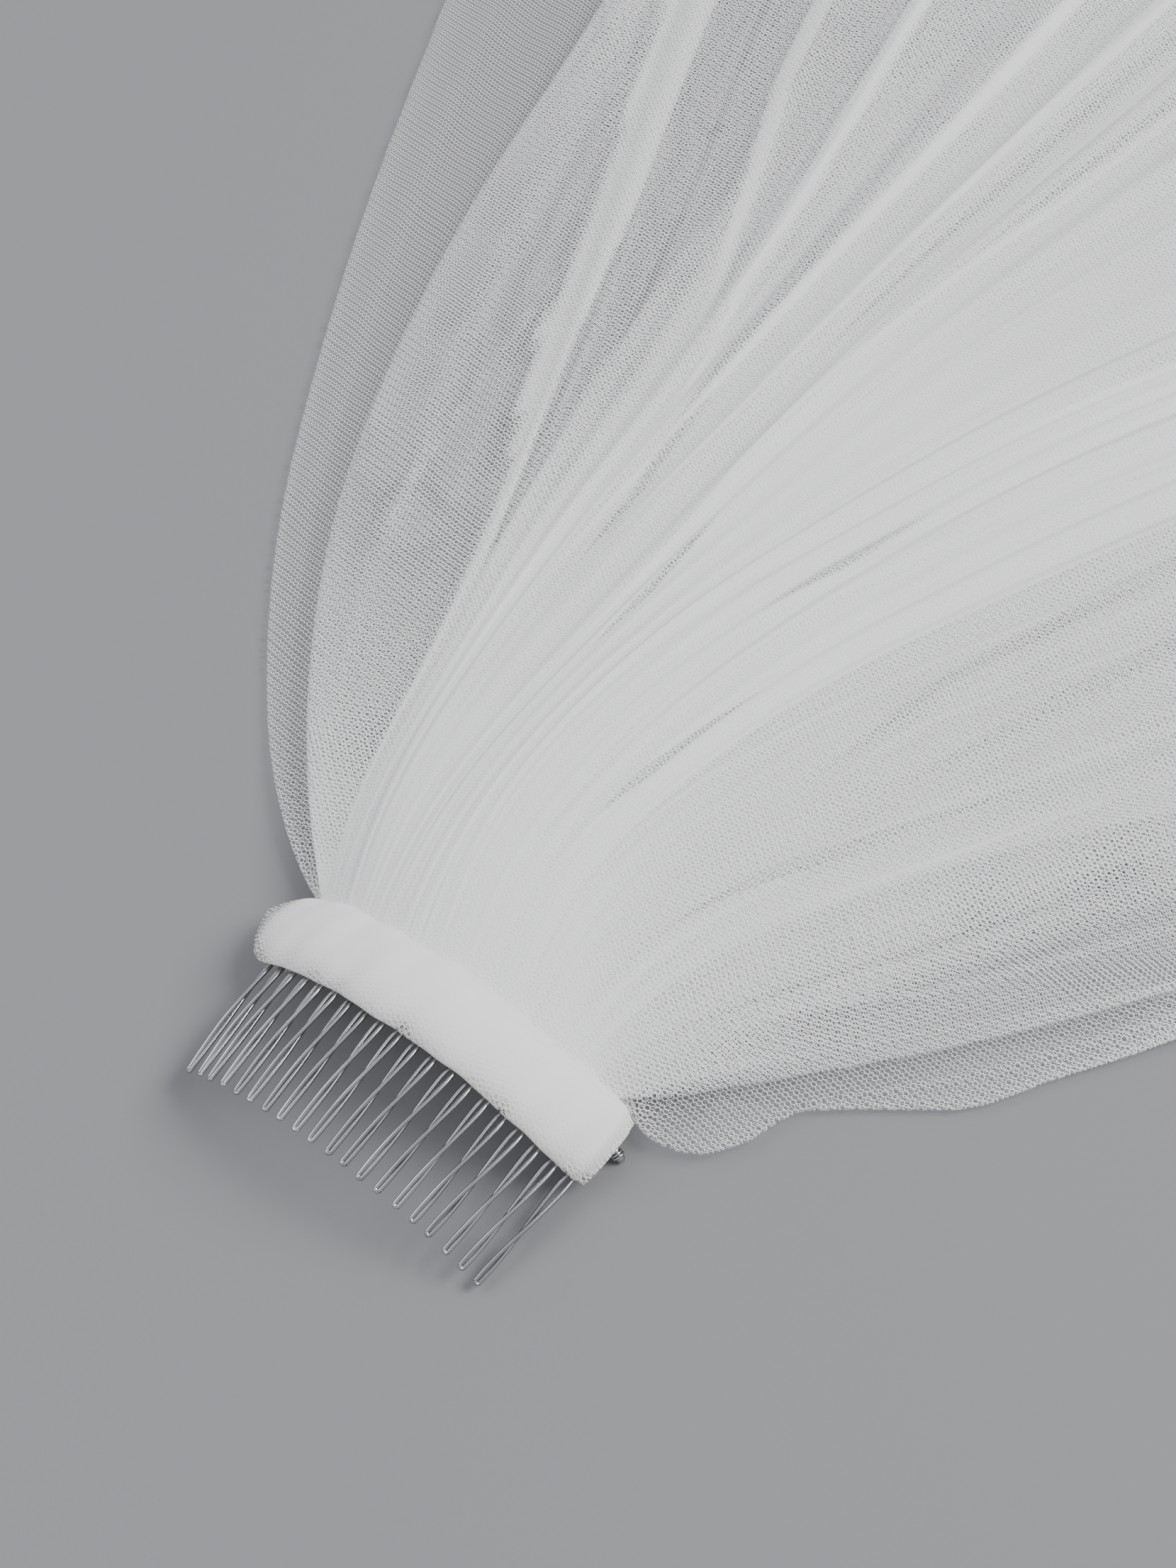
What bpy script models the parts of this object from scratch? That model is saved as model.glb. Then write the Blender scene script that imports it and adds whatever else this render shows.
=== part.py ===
"""Two-tier bridal veil of soft tulle, gathered onto a bowed wire hair comb and laid on a surface.

The comb's spine runs along X, its teeth point to -Y and the veil fans out towards +Y. The comb is
bowed and lies with its convex side up. The lower tier rests on the surface, the upper tier on the
lower one. Lengths are written in millimetres and scaled once, where a mesh or a curve is made.
"""

import math

import bmesh
import bpy
from mathutils import Vector

MM = 0.001

# Comb: a spine bent to an arc, and wire hairpins hooked round it
BOW_RADIUS = 61.0
BOW_TOP = 17.7
SPINE_Y = 9.5
SPINE_RADIUS = 0.9
SPINE_LEFT = -42.0
SPINE_RIGHT = 46.7
SPINE_POINTS = 22
WIRE_RADIUS = 0.42
TOOTH_COUNT = 20
TOOTH_PITCH = 4.1
TOOTH_SHIFT = 2.75
TOOTH_LENGTH = 25.2
TOOTH_DROOP = 2.6
TIP_HALF_GAP = 0.5
HOOK_RADIUS = 1.75
HOOK_ANGLES = (-90.0, -30.0, 30.0, 90.0)
TIP_ANGLES = (0.0, 60.0, 120.0, 180.0)

# Each leg of a hairpin: y, half of the space between the legs, and how far the pair has turned
TOOTH_STATIONS = (
    # y, half_gap, turn_deg
    (0.0, 1.10, 90.0),
    (-4.0, 0.80, 75.0),
    (-8.0, 0.56, 42.0),
    (-13.0, TIP_HALF_GAP, 8.0),
)

# Binding band: a soft strip folded round the spine, open along the teeth
BAND_HALF_LENGTH = 44.25
BAND_HALF_WIDTH = 8.0
BAND_HALF_HEIGHT = 3.5
BAND_CENTRE_Y = 7.9
BAND_WALL = 1.5
BAND_LIP_ANGLE = 148.0
BAND_SECTION_POINTS = 15
BAND_STATIONS = 21
BAND_END_RUN = 3.0
BAND_END_HEIGHT = 0.62
BAND_END_WIDTH = 0.84

# Veil: both tiers leave the back of the band and follow the same guide lines
WALL = 1.8
SEAM_GAP = 0.3
GATHER_HALF = 41.25
GATHER_SHIFT = 0.5
ROOT_Y = BAND_CENTRE_Y + BAND_HALF_WIDTH + BAND_WALL / 2 + SEAM_GAP
ROOT_DROP = 2.1
LIFT_RUN_MIDDLE = 150.0
LIFT_RUN_SIDE = 60.0
STEP = 2.5
LOWER_LENGTH = 750.0
UPPER_LENGTH = 600.0
CORNER_CUT = 0.16
CORNER_POWER = 12

# Direction of the guide lines in degrees from +Y, positive towards +X, at seven distances
GUIDE_RUNS = (0.0, 15.0, 50.0, 120.0, 220.0, 320.0, 750.0)
GUIDES = (
    # share of the gather, then the heading at each of the distances above
    (-1.00, (-68.0, -58.0, -44.0, -31.0, -25.0, -24.0, -21.0)),
    (-0.95, (-50.0, -48.0, -40.0, -24.0, -12.0, -20.0, -19.0)),
    (-0.90, (-32.0, -26.0, -17.0, -22.0, -24.0, -17.0, -14.0)),
    (-0.80, (-28.0, -24.0, -16.0, -9.0, -18.0, -14.0, -12.0)),
    (-0.74, (-28.0, -24.0, -15.0, -5.0, -12.0, -11.0, -9.0)),
    (-0.66, (-28.0, -24.0, -14.0, -2.0, 0.0, -2.0, -6.0)),
    (-0.50, (-20.0, -16.0, -6.0, 1.0, 9.0, 8.0, 2.0)),
    (-0.12, (-26.0, -20.0, -7.0, 17.0, 30.0, 27.0, 16.0)),
    (0.10, (-22.0, -16.0, -3.0, 16.0, 32.0, 31.0, 22.0)),
    (0.38, (-24.0, -17.0, 2.0, 25.0, 32.0, 32.0, 27.0)),
    (0.60, (-6.0, 1.0, 18.0, 31.0, 33.0, 33.0, 30.0)),
    (0.74, (0.0, 8.0, 27.0, 33.0, 34.0, 34.0, 32.0)),
    (0.88, (22.0, 28.0, 35.0, 36.0, 35.0, 35.0, 33.0)),
    (0.94, (40.0, 42.0, 42.0, 37.0, 36.0, 36.0, 34.0)),
    (1.00, (108.0, 60.0, 42.0, 36.0, 37.0, 38.0, 38.0)),
)

# Rows of the walls, as distances from the gather along the guide lines
ROWS = (0.0, 12.0, 29.0, 50.0, 78.0, 115.0, 165.0, 240.0, 340.0, 465.0, 600.0, 750.0)
FREE_RUN = 240.0

# Distances at which a fold's height is given: at the stitches, near, mid and far
FOLD_RUNS = (0.0, 20.0, 113.0, 340.0, 750.0)
STITCHED = 0.45

# Folds: share of the gather, half width as a share, lean, and height near, mid and far in mm
LOWER_FOLDS = (
    (-0.985, 0.010, 0.2, 0.2, 1.0, 2.0),
    (-0.960, 0.010, 0.0, 0.2, 1.2, 2.2),
    (-0.928, 0.012, -0.2, 0.3, 1.2, 1.0),
    (-0.880, 0.018, 0.0, 0.5, 1.4, 2.8),
    (-0.815, 0.026, 0.2, 0.7, 1.6, 2.4),
    (-0.735, 0.032, -0.1, 0.8, 2.0, 3.0),
    (-0.650, 0.036, 0.0, 0.9, 1.5, 2.2),
    (-0.560, 0.038, 0.2, 0.9, 2.1, 3.0),
    (-0.465, 0.038, 0.0, 0.9, 1.4, 2.0),
    (-0.180, 0.040, -0.3, 0.9, 1.9, 2.8),
    (-0.085, 0.038, 0.0, 0.8, 2.2, 3.0),
    (0.010, 0.038, 0.2, 0.9, 1.5, 2.4),
    (0.105, 0.038, 0.0, 0.9, 2.2, 3.0),
    (0.200, 0.038, -0.2, 0.8, 1.7, 2.8),
    (0.295, 0.038, 0.1, 0.9, 2.0, 3.0),
    (0.390, 0.038, 0.0, 0.9, 1.6, 2.4),
    (0.485, 0.038, 0.3, 0.8, 2.2, 3.0),
    (0.580, 0.038, 0.0, 0.9, 1.8, 2.8),
    (0.675, 0.038, -0.2, 0.8, 2.0, 2.6),
    (0.768, 0.036, 0.0, 0.7, 1.8, 3.0),
    (0.855, 0.032, 0.2, 0.6, 1.6, 2.6),
    (0.925, 0.022, 0.0, 0.5, 1.8, 3.0),
    (0.976, 0.014, 0.0, 0.4, 1.2, 2.2),
)
UPPER_FOLDS = (
    (-0.938, 0.008, 0.0, 0.2, 1.2, 1.0),
    (-0.917, 0.009, 0.2, 0.2, 1.3, 1.0),
    (-0.893, 0.012, 0.3, 0.3, 1.6, 4.4),
    (-0.845, 0.018, 0.0, 0.6, 1.2, 2.4),
    (-0.800, 0.020, -0.2, 0.7, 1.6, 4.4),
    (-0.742, 0.026, 0.2, 0.9, 2.3, 5.4),
    (-0.664, 0.030, 0.0, 1.0, 3.0, 6.0),
    (-0.585, 0.030, 0.3, 1.0, 2.2, 4.4),
    (-0.505, 0.030, -0.2, 1.0, 2.8, 5.4),
    (-0.425, 0.030, 0.0, 1.1, 2.0, 3.6),
    (-0.340, 0.034, 0.1, 1.2, 0.9, 0.8),
    (-0.245, 0.034, 0.0, 1.2, 0.7, 0.8),
    (-0.145, 0.034, -0.3, 1.1, 3.2, 6.0),
    (-0.060, 0.032, 0.0, 1.1, 2.6, 4.8),
    (0.030, 0.034, 0.2, 1.1, 1.6, 2.6),
    (0.120, 0.034, 0.0, 1.1, 3.0, 5.4),
    (0.205, 0.030, 0.2, 1.0, 1.4, 2.4),
    (0.290, 0.034, -0.2, 1.1, 2.2, 3.2),
    (0.375, 0.032, 0.0, 1.1, 2.8, 4.8),
    (0.458, 0.030, 0.2, 0.9, 1.4, 2.6),
    (0.540, 0.032, 0.0, 1.0, 2.4, 3.6),
    (0.622, 0.032, 0.2, 1.1, 3.0, 5.4),
    (0.704, 0.030, -0.1, 0.9, 2.4, 4.4),
    (0.784, 0.030, 0.2, 1.0, 2.0, 3.6),
    (0.856, 0.026, 0.0, 0.8, 2.2, 4.0),
    (0.912, 0.018, 0.0, 0.6, 1.4, 2.8),
)
LOWER_EDGES = (-1.0, 1.0)
UPPER_EDGES = (-0.95, 0.94)

WHITE = (0.86, 0.86, 0.87)
WARM_WHITE = (0.90, 0.90, 0.88)
SILVER = (0.80, 0.80, 0.81)


def clear_scene():
    """Remove every object that the file opened with."""
    for obj in list(bpy.data.objects):
        bpy.data.objects.remove(obj, do_unlink=True)


def material(name, colour, roughness, metallic):
    """A Principled material with one colour."""
    mat = bpy.data.materials.new(name)
    mat.use_nodes = True
    shader = mat.node_tree.nodes["Principled BSDF"]
    shader.inputs["Base Color"].default_value = (*colour, 1.0)
    shader.inputs["Roughness"].default_value = roughness
    shader.inputs["Metallic"].default_value = metallic
    mat.diffuse_color = (*colour, 1.0)
    return mat


def interpolate(value, stations, heights):
    """Read a table of heights at rising stations, with straight lines between them."""
    if value <= stations[0]:
        return heights[0]
    for left in range(len(stations) - 1):
        if value <= stations[left + 1]:
            share = (value - stations[left]) / (stations[left + 1] - stations[left])
            return heights[left] + share * (heights[left + 1] - heights[left])
    return heights[-1]


def smooth(value):
    """Ease from 0 to 1 with level ends."""
    value = min(max(value, 0.0), 1.0)
    return value * value * (3.0 - 2.0 * value)


def comb_point(arc, y, out):
    """A point at a distance along the bow, across it, and outside its centre line."""
    angle = arc / BOW_RADIUS
    radius = BOW_RADIUS + out
    return Vector((radius * math.sin(angle), y, BOW_TOP - BOW_RADIUS + radius * math.cos(angle)))


def add_object(name, data, mat, group, root):
    """Put a mesh or a curve in the part's collection, under the root empty."""
    obj = bpy.data.objects.new(name, data)
    data.materials.append(mat)
    group.objects.link(obj)
    obj.parent = root
    return obj


def wire(name, points, radius, sides_resolution, cyclic):
    """A wire through points in millimetres, as a curve with a round bevel."""
    curve = bpy.data.curves.new(name, "CURVE")
    curve.dimensions = "3D"
    curve.bevel_depth = radius * MM
    curve.bevel_resolution = sides_resolution
    curve.use_fill_caps = not cyclic
    spline = curve.splines.new("POLY")
    spline.points.add(len(points) - 1)
    for slot, point in zip(spline.points, points):
        slot.co = (*(point * MM), 1.0)
    spline.use_cyclic_u = cyclic
    return curve


def make_spine():
    """The bowed bar under the band. Its right end stands out of the band."""
    step = (SPINE_RIGHT - SPINE_LEFT) / (SPINE_POINTS - 1)
    arcs = [SPINE_LEFT + step * index for index in range(SPINE_POINTS)]
    points = [comb_point(arc, SPINE_Y, 0.0) for arc in arcs]
    return wire("comb_spine", points, SPINE_RADIUS, 2, False)


def tooth_point(arc, y, half_gap, turn_deg, side):
    """A point on one leg. At 90 degrees the legs lie above each other, at 0 side by side."""
    turn = math.radians(turn_deg)
    droop = TOOTH_DROOP * max(-y / TOOTH_LENGTH, 0.0) ** 1.5
    out = side * half_gap * math.sin(turn) - droop
    return comb_point(arc + side * half_gap * math.cos(turn), y, out)


def make_tooth(name, arc):
    """One hairpin: hooked round the spine, crossing on its way down, with a tight round tip."""
    tip_y = TIP_HALF_GAP + WIRE_RADIUS - TOOTH_LENGTH
    upper = [tooth_point(arc, y, gap, turn, 1) for y, gap, turn in TOOTH_STATIONS]
    lower = [tooth_point(arc, y, gap, turn, -1) for y, gap, turn in TOOTH_STATIONS]
    tip = []
    for angle in TIP_ANGLES:
        turn = math.radians(angle)
        beside = TIP_HALF_GAP * math.cos(turn)
        tip.append(tooth_point(arc + beside, tip_y - TIP_HALF_GAP * math.sin(turn), 0.0, 0.0, 1))
    hook = []
    for angle in HOOK_ANGLES:
        turn = math.radians(angle)
        y = SPINE_Y + HOOK_RADIUS * math.cos(turn)
        hook.append(comb_point(arc, y, HOOK_RADIUS * math.sin(turn)))
    points = upper + tip + lower[::-1] + hook
    return wire(name, points, WIRE_RADIUS, 1, True)


def band_section(height_share, width_share):
    """Open section of the band from its lower lip, round the back, to its upper lip."""
    section = []
    for index in range(BAND_SECTION_POINTS):
        share = 2.0 * index / (BAND_SECTION_POINTS - 1) - 1.0
        angle = math.radians(BAND_LIP_ANGLE * share)
        rise = math.copysign(math.sqrt(abs(math.sin(angle))), share)
        y = BAND_CENTRE_Y + BAND_HALF_WIDTH * width_share * math.cos(angle)
        section.append((y, BAND_HALF_HEIGHT * height_share * rise))
    return section


def make_band():
    """The folded strip as an open sheet along the bow. A Solidify modifier gives its wall."""
    mesh = bpy.data.meshes.new("binding_band")
    work = bmesh.new()
    previous = None
    for station in range(BAND_STATIONS):
        share = 2.0 * station / (BAND_STATIONS - 1) - 1.0
        arc = BAND_HALF_LENGTH * math.sin(share * math.pi / 2)
        ease = smooth((BAND_HALF_LENGTH - abs(arc)) / BAND_END_RUN)
        height_share = BAND_END_HEIGHT + (1.0 - BAND_END_HEIGHT) * ease
        width_share = BAND_END_WIDTH + (1.0 - BAND_END_WIDTH) * ease
        section = band_section(height_share, width_share)
        row = [work.verts.new(comb_point(arc, y, out) * MM) for y, out in section]
        if previous:
            for index in range(BAND_SECTION_POINTS - 1):
                work.faces.new((previous[index], row[index], row[index + 1], previous[index + 1]))
        previous = row
    bmesh.ops.recalc_face_normals(work, faces=work.faces)
    work.to_mesh(mesh)
    work.free()
    mesh.shade_smooth()
    return mesh


def heading(share, run):
    """Direction of a guide line in radians from +Y, at a share of the gather and a distance."""
    shares = [row[0] for row in GUIDES]
    angles = [interpolate(run, GUIDE_RUNS, row[1]) for row in GUIDES]
    return math.radians(interpolate(share, shares, angles))


def guide_line(share, runs):
    """Plan points of one guide line at rising distances from the gather."""
    root = comb_point(GATHER_SHIFT + share * GATHER_HALF, ROOT_Y, 0.0)
    x = root.x
    y = root.y
    done = 0.0
    points = []
    for run in runs:
        while run - done > 1e-9:
            step = min(STEP, run - done)
            angle = heading(share, done + step / 2)
            x += step * math.sin(angle)
            y += step * math.cos(angle)
            done += step
        points.append((x, y))
    return points


def lift(share, run):
    """Height of the lower tier's underside before its folds: the bow at the gather, then level."""
    root = comb_point(GATHER_SHIFT + share * GATHER_HALF, ROOT_Y, 0.0)
    reach = LIFT_RUN_SIDE + (LIFT_RUN_MIDDLE - LIFT_RUN_SIDE) * (1.0 - share * share)
    return (root.z - ROOT_DROP) * (1.0 - smooth(run / reach)) ** 1.3


def fold_height(fold, run):
    """Height of one fold's crest at a distance from the gather."""
    near, mid, far = fold[3:]
    return interpolate(run, FOLD_RUNS, (STITCHED * near, near, mid, far, far))


def fold_columns(folds, edges):
    """Column shares with the fold that each belongs to and its part of the fold's height."""
    columns = [(edges[0], None, 0.0)]
    for fold in folds:
        centre, half, lean = fold[:3]
        crest = centre + lean * half
        columns.append((centre - half, fold, 0.0))
        columns.append(((centre - half + crest) / 2, fold, 0.5))
        columns.append((crest, fold, 1.0))
        columns.append(((centre + half + crest) / 2, fold, 0.5))
        columns.append((centre + half, fold, 0.0))
    columns.append((edges[1], None, 0.0))
    return columns


def tier_runs(share, edges, length):
    """Distances of a column's rows. Past the free run they shorten towards a rounded corner."""
    centre = (edges[0] + edges[1]) / 2
    across = (share - centre) / (edges[1] - centre)
    own = length * (1.0 - CORNER_CUT * abs(across) ** CORNER_POWER)
    runs = []
    for row in ROWS:
        if row > length:
            break
        if row > FREE_RUN:
            row = FREE_RUN + (row - FREE_RUN) * (own - FREE_RUN) / (length - FREE_RUN)
        runs.append(row)
    return runs


def upper_base(share, run):
    """Underside of the upper tier between its folds: just clear of the lower tier's crests."""
    crest = max(fold_height(fold, run) for fold in LOWER_FOLDS)
    return lift(share, run) + WALL + crest + SEAM_GAP


def wall_mesh(name, folds, edges, length, base):
    """A closed wall of cloth lofted over its columns and rows."""
    mesh = bpy.data.meshes.new(name)
    work = bmesh.new()
    under = []
    over = []
    for share, fold, part in fold_columns(folds, edges):
        runs = tier_runs(share, edges, length)
        low = []
        high = []
        for run, (x, y) in zip(runs, guide_line(share, runs)):
            z = base(share, run)
            if fold:
                z += part * fold_height(fold, run)
            low.append(work.verts.new(Vector((x, y, z)) * MM))
            high.append(work.verts.new(Vector((x, y, z + WALL)) * MM))
        under.append(low)
        over.append(high)
    last_column = len(under) - 1
    last_row = len(under[0]) - 1
    for column in range(last_column):
        for row in range(last_row):
            corners = [(column, row), (column + 1, row), (column + 1, row + 1), (column, row + 1)]
            work.faces.new([over[c][r] for c, r in corners])
            work.faces.new([under[c][r] for c, r in reversed(corners)])
    rim = [(column, 0) for column in range(last_column)]
    rim += [(last_column, row) for row in range(last_row)]
    rim += [(column, last_row) for column in range(last_column, 0, -1)]
    rim += [(0, row) for row in range(last_row, 0, -1)]
    for (c, r), (c_next, r_next) in zip(rim, rim[1:] + rim[:1]):
        work.faces.new((under[c][r], under[c_next][r_next], over[c_next][r_next], over[c][r]))
    bmesh.ops.triangulate(work, faces=work.faces)
    bmesh.ops.recalc_face_normals(work, faces=work.faces)
    work.to_mesh(mesh)
    work.free()
    mesh.shade_smooth()
    mesh.set_sharp_from_angle(angle=math.radians(50.0))
    return mesh


def centre_on_floor(root):
    """Move the root so that the part's box is centred on the origin and stands on z = 0."""
    bpy.context.view_layer.update()
    graph = bpy.context.evaluated_depsgraph_get()
    corners = []
    for obj in root.children:
        ready = obj.evaluated_get(graph)
        mesh = ready.to_mesh()
        corners += [ready.matrix_world @ vertex.co for vertex in mesh.vertices]
        ready.to_mesh_clear()
    for axis in (0, 1):
        values = [corner[axis] for corner in corners]
        root.location[axis] = -(min(values) + max(values)) / 2
    root.location.z = -min(corner.z for corner in corners)


def main():
    """Build the comb, the band and the two tiers."""
    clear_scene()
    group = bpy.data.collections.new("bridal_veil")
    bpy.context.scene.collection.children.link(group)
    root = bpy.data.objects.new("veil_origin", None)
    group.objects.link(root)

    silver = material("silver_wire", SILVER, 0.18, 1.0)
    band_cloth = material("band_tulle", WARM_WHITE, 0.85, 0.0)
    veil_cloth = material("veil_tulle", WHITE, 0.80, 0.0)

    add_object("comb_spine", make_spine(), silver, group, root)
    for index in range(TOOTH_COUNT):
        arc = TOOTH_SHIFT + (index - (TOOTH_COUNT - 1) / 2) * TOOTH_PITCH
        name = f"comb_tooth_{index + 1:02d}"
        add_object(name, make_tooth(name, arc), silver, group, root)

    band = add_object("binding_band", make_band(), band_cloth, group, root)
    wall = band.modifiers.new("wall", "SOLIDIFY")
    wall.thickness = BAND_WALL * MM
    wall.offset = 0.0
    wall.use_even_offset = True

    lower = wall_mesh("veil_lower_tier", LOWER_FOLDS, LOWER_EDGES, LOWER_LENGTH, lift)
    add_object("veil_lower_tier", lower, veil_cloth, group, root)
    upper = wall_mesh("veil_upper_tier", UPPER_FOLDS, UPPER_EDGES, UPPER_LENGTH, upper_base)
    add_object("veil_upper_tier", upper, veil_cloth, group, root)

    centre_on_floor(root)


main()
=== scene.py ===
"""A two-tier bridal veil of soft tulle on a bowed wire comb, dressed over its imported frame."""

import logging
import math
from dataclasses import dataclass, field
from enum import Enum

import bpy
import numpy as np
from mathutils import Matrix, Vector


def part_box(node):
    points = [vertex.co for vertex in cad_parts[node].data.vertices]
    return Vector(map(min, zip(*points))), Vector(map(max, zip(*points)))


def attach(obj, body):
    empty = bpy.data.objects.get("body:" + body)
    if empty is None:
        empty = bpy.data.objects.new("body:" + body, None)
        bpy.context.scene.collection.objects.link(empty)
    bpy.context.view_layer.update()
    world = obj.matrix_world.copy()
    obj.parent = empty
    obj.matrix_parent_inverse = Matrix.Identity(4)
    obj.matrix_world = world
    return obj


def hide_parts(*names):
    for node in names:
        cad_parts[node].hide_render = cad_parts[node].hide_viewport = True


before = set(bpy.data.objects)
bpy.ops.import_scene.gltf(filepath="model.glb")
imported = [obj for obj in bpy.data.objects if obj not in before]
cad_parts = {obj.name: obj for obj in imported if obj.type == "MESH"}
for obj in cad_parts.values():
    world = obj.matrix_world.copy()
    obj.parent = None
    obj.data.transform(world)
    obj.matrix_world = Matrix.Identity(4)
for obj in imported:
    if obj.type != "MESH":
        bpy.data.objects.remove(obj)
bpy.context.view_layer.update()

MM = 0.001
LOG = logging.getLogger("bridal_veil")
# Rising places, mostly distances from the gather in mm, each with the value there.
Pairs = tuple[tuple[float, float], ...]


class Side(Enum):
    """The side of a fold, or of the veil, that something is on, seen from the comb."""

    LEFT = -1.0
    RIGHT = 1.0


class Finish(Enum):
    """The record's material slots."""

    WIRE = "silver_wire"
    BAND = "band_tulle"
    VEIL = "veil_tulle"


# ----- Small helpers -----


def smooth(value: np.ndarray | float) -> np.ndarray | float:
    """Ease from 0 to 1 with level ends.

    Args:
        value: Position between 0 and 1; what lies outside is clamped.

    Returns:
        The eased position.
    """
    value = np.clip(value, 0.0, 1.0)
    return value * value * (3.0 - 2.0 * value)


def read_path(path: Pairs, run: np.ndarray | float) -> np.ndarray:
    """Read a short table of (run, value) pairs.

    Args:
        path: Pairs with rising runs.
        run: Distance or distances from the gather in millimetres.

    Returns:
        The values at those runs, with straight lines between the pairs.
    """
    runs, values = zip(*path)
    return np.interp(run, runs, values)


def quad_mesh(
    name: str,
    points: np.ndarray,
    closed: bool = False,
    ends: tuple[tuple[int, ...], ...] = (),
) -> bpy.types.Mesh:
    """Make a smooth mesh over a grid of points.

    Args:
        name: Name of the mesh.
        points: Array of shape (columns, rows, 3), in metres.
        closed: True if the last row joins the first, as on a tube.
        ends: Faces that close both end columns, each as the numbers of its rows.

    Returns:
        The mesh.
    """
    columns, rows = points.shape[:2]
    index = np.arange(columns * rows).reshape(columns, rows)
    after = np.roll(index, -1, axis=1) if closed else index[:, 1:]
    here = index if closed else index[:, :-1]
    faces = np.stack([here[:-1], here[1:], after[1:], after[:-1]], axis=-1).reshape(-1, 4).tolist()
    for face in ends:
        faces.append([int(index[0, row]) for row in face])
        faces.append([int(index[-1, row]) for row in reversed(face)])
    mesh = bpy.data.meshes.new(name)
    mesh.from_pydata(points.reshape(-1, 3).tolist(), [], faces)
    mesh.shade_smooth()
    return mesh


def tube_mesh(name: str, path: np.ndarray, radius: float, sides: int, loop: bool) -> bpy.types.Mesh:
    """Sweep a round section along a path.

    Args:
        name: Name of the mesh.
        path: Array of shape (points, 3), in millimetres.
        radius: Radius of the wire in millimetres.
        sides: Number of faces round the wire.
        loop: True if the path closes on itself.

    Returns:
        The mesh, in metres, with rounded caps where the path is open.
    """
    if loop:
        along = np.roll(path, -1, axis=0) - np.roll(path, 1, axis=0)
    else:
        along = np.gradient(path, axis=0)
    along /= np.linalg.norm(along, axis=1, keepdims=True)
    across = np.zeros_like(path)
    start = np.cross(along[0], (0.3, 0.2, 1.0))
    across[0] = start / np.linalg.norm(start)
    for step in range(1, len(path)):
        moved = across[step - 1] - along[step] * np.dot(across[step - 1], along[step])
        across[step] = moved / np.linalg.norm(moved)
    radii = np.full(len(path), radius)
    if not loop:
        caps = np.sin(np.radians((0.0, 35.0, 65.0, 90.0)))
        back = np.cos(np.radians((0.0, 35.0, 65.0, 90.0)))
        ends = []
        for tip, side in ((0, -1.0), (-1, 1.0)):
            ring = [path[tip] + along[tip] * side * radius * share for share in back[:3]]
            ends.append(ring if side < 0 else ring[::-1])
        path = np.concatenate([ends[0], path, ends[1]])
        along = np.concatenate([[along[0]] * 3, along, [along[-1]] * 3])
        across = np.concatenate([[across[0]] * 3, across, [across[-1]] * 3])
        radii = np.concatenate([radius * caps[:3] + 1e-4, radii, (radius * caps[:3] + 1e-4)[::-1]])
    third = np.cross(along, across)
    if loop:
        spin = math.atan2(np.dot(across[0], third[-1]), np.dot(across[0], across[-1]))
        turn = np.linspace(0.0, spin, len(path))[:, None]
        across, third = (
            across * np.cos(turn) + third * np.sin(turn),
            third * np.cos(turn) - across * np.sin(turn),
        )
    angle = np.linspace(0.0, 2.0 * math.pi, sides, endpoint=False)[None, :, None]
    ring = across[:, None] * np.cos(angle) + third[:, None] * np.sin(angle)
    points = path[:, None] + ring * radii[:, None, None]
    if loop:
        points = np.concatenate([points, points[:1]])
    return quad_mesh(name, points * MM, closed=True)


def add_piece(
    name: str, mesh: bpy.types.Mesh, material: bpy.types.Material
) -> bpy.types.Object:
    """Link a piece, dress it and let it ride on the veil's one body.

    Args:
        name: Name of the piece.
        mesh: Its mesh, in the row frame.
        material: Its material.

    Returns:
        The object.
    """
    piece = bpy.data.objects.new(name, mesh)
    mesh.materials.append(material)
    bpy.context.scene.collection.objects.link(piece)
    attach(piece, "root")
    return piece


def report(piece: bpy.types.Object) -> None:
    """Log a piece's name and face count."""
    LOG.info("%s: %d faces", piece.name, len(piece.data.polygons))


# ----- Finishes -----


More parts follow.
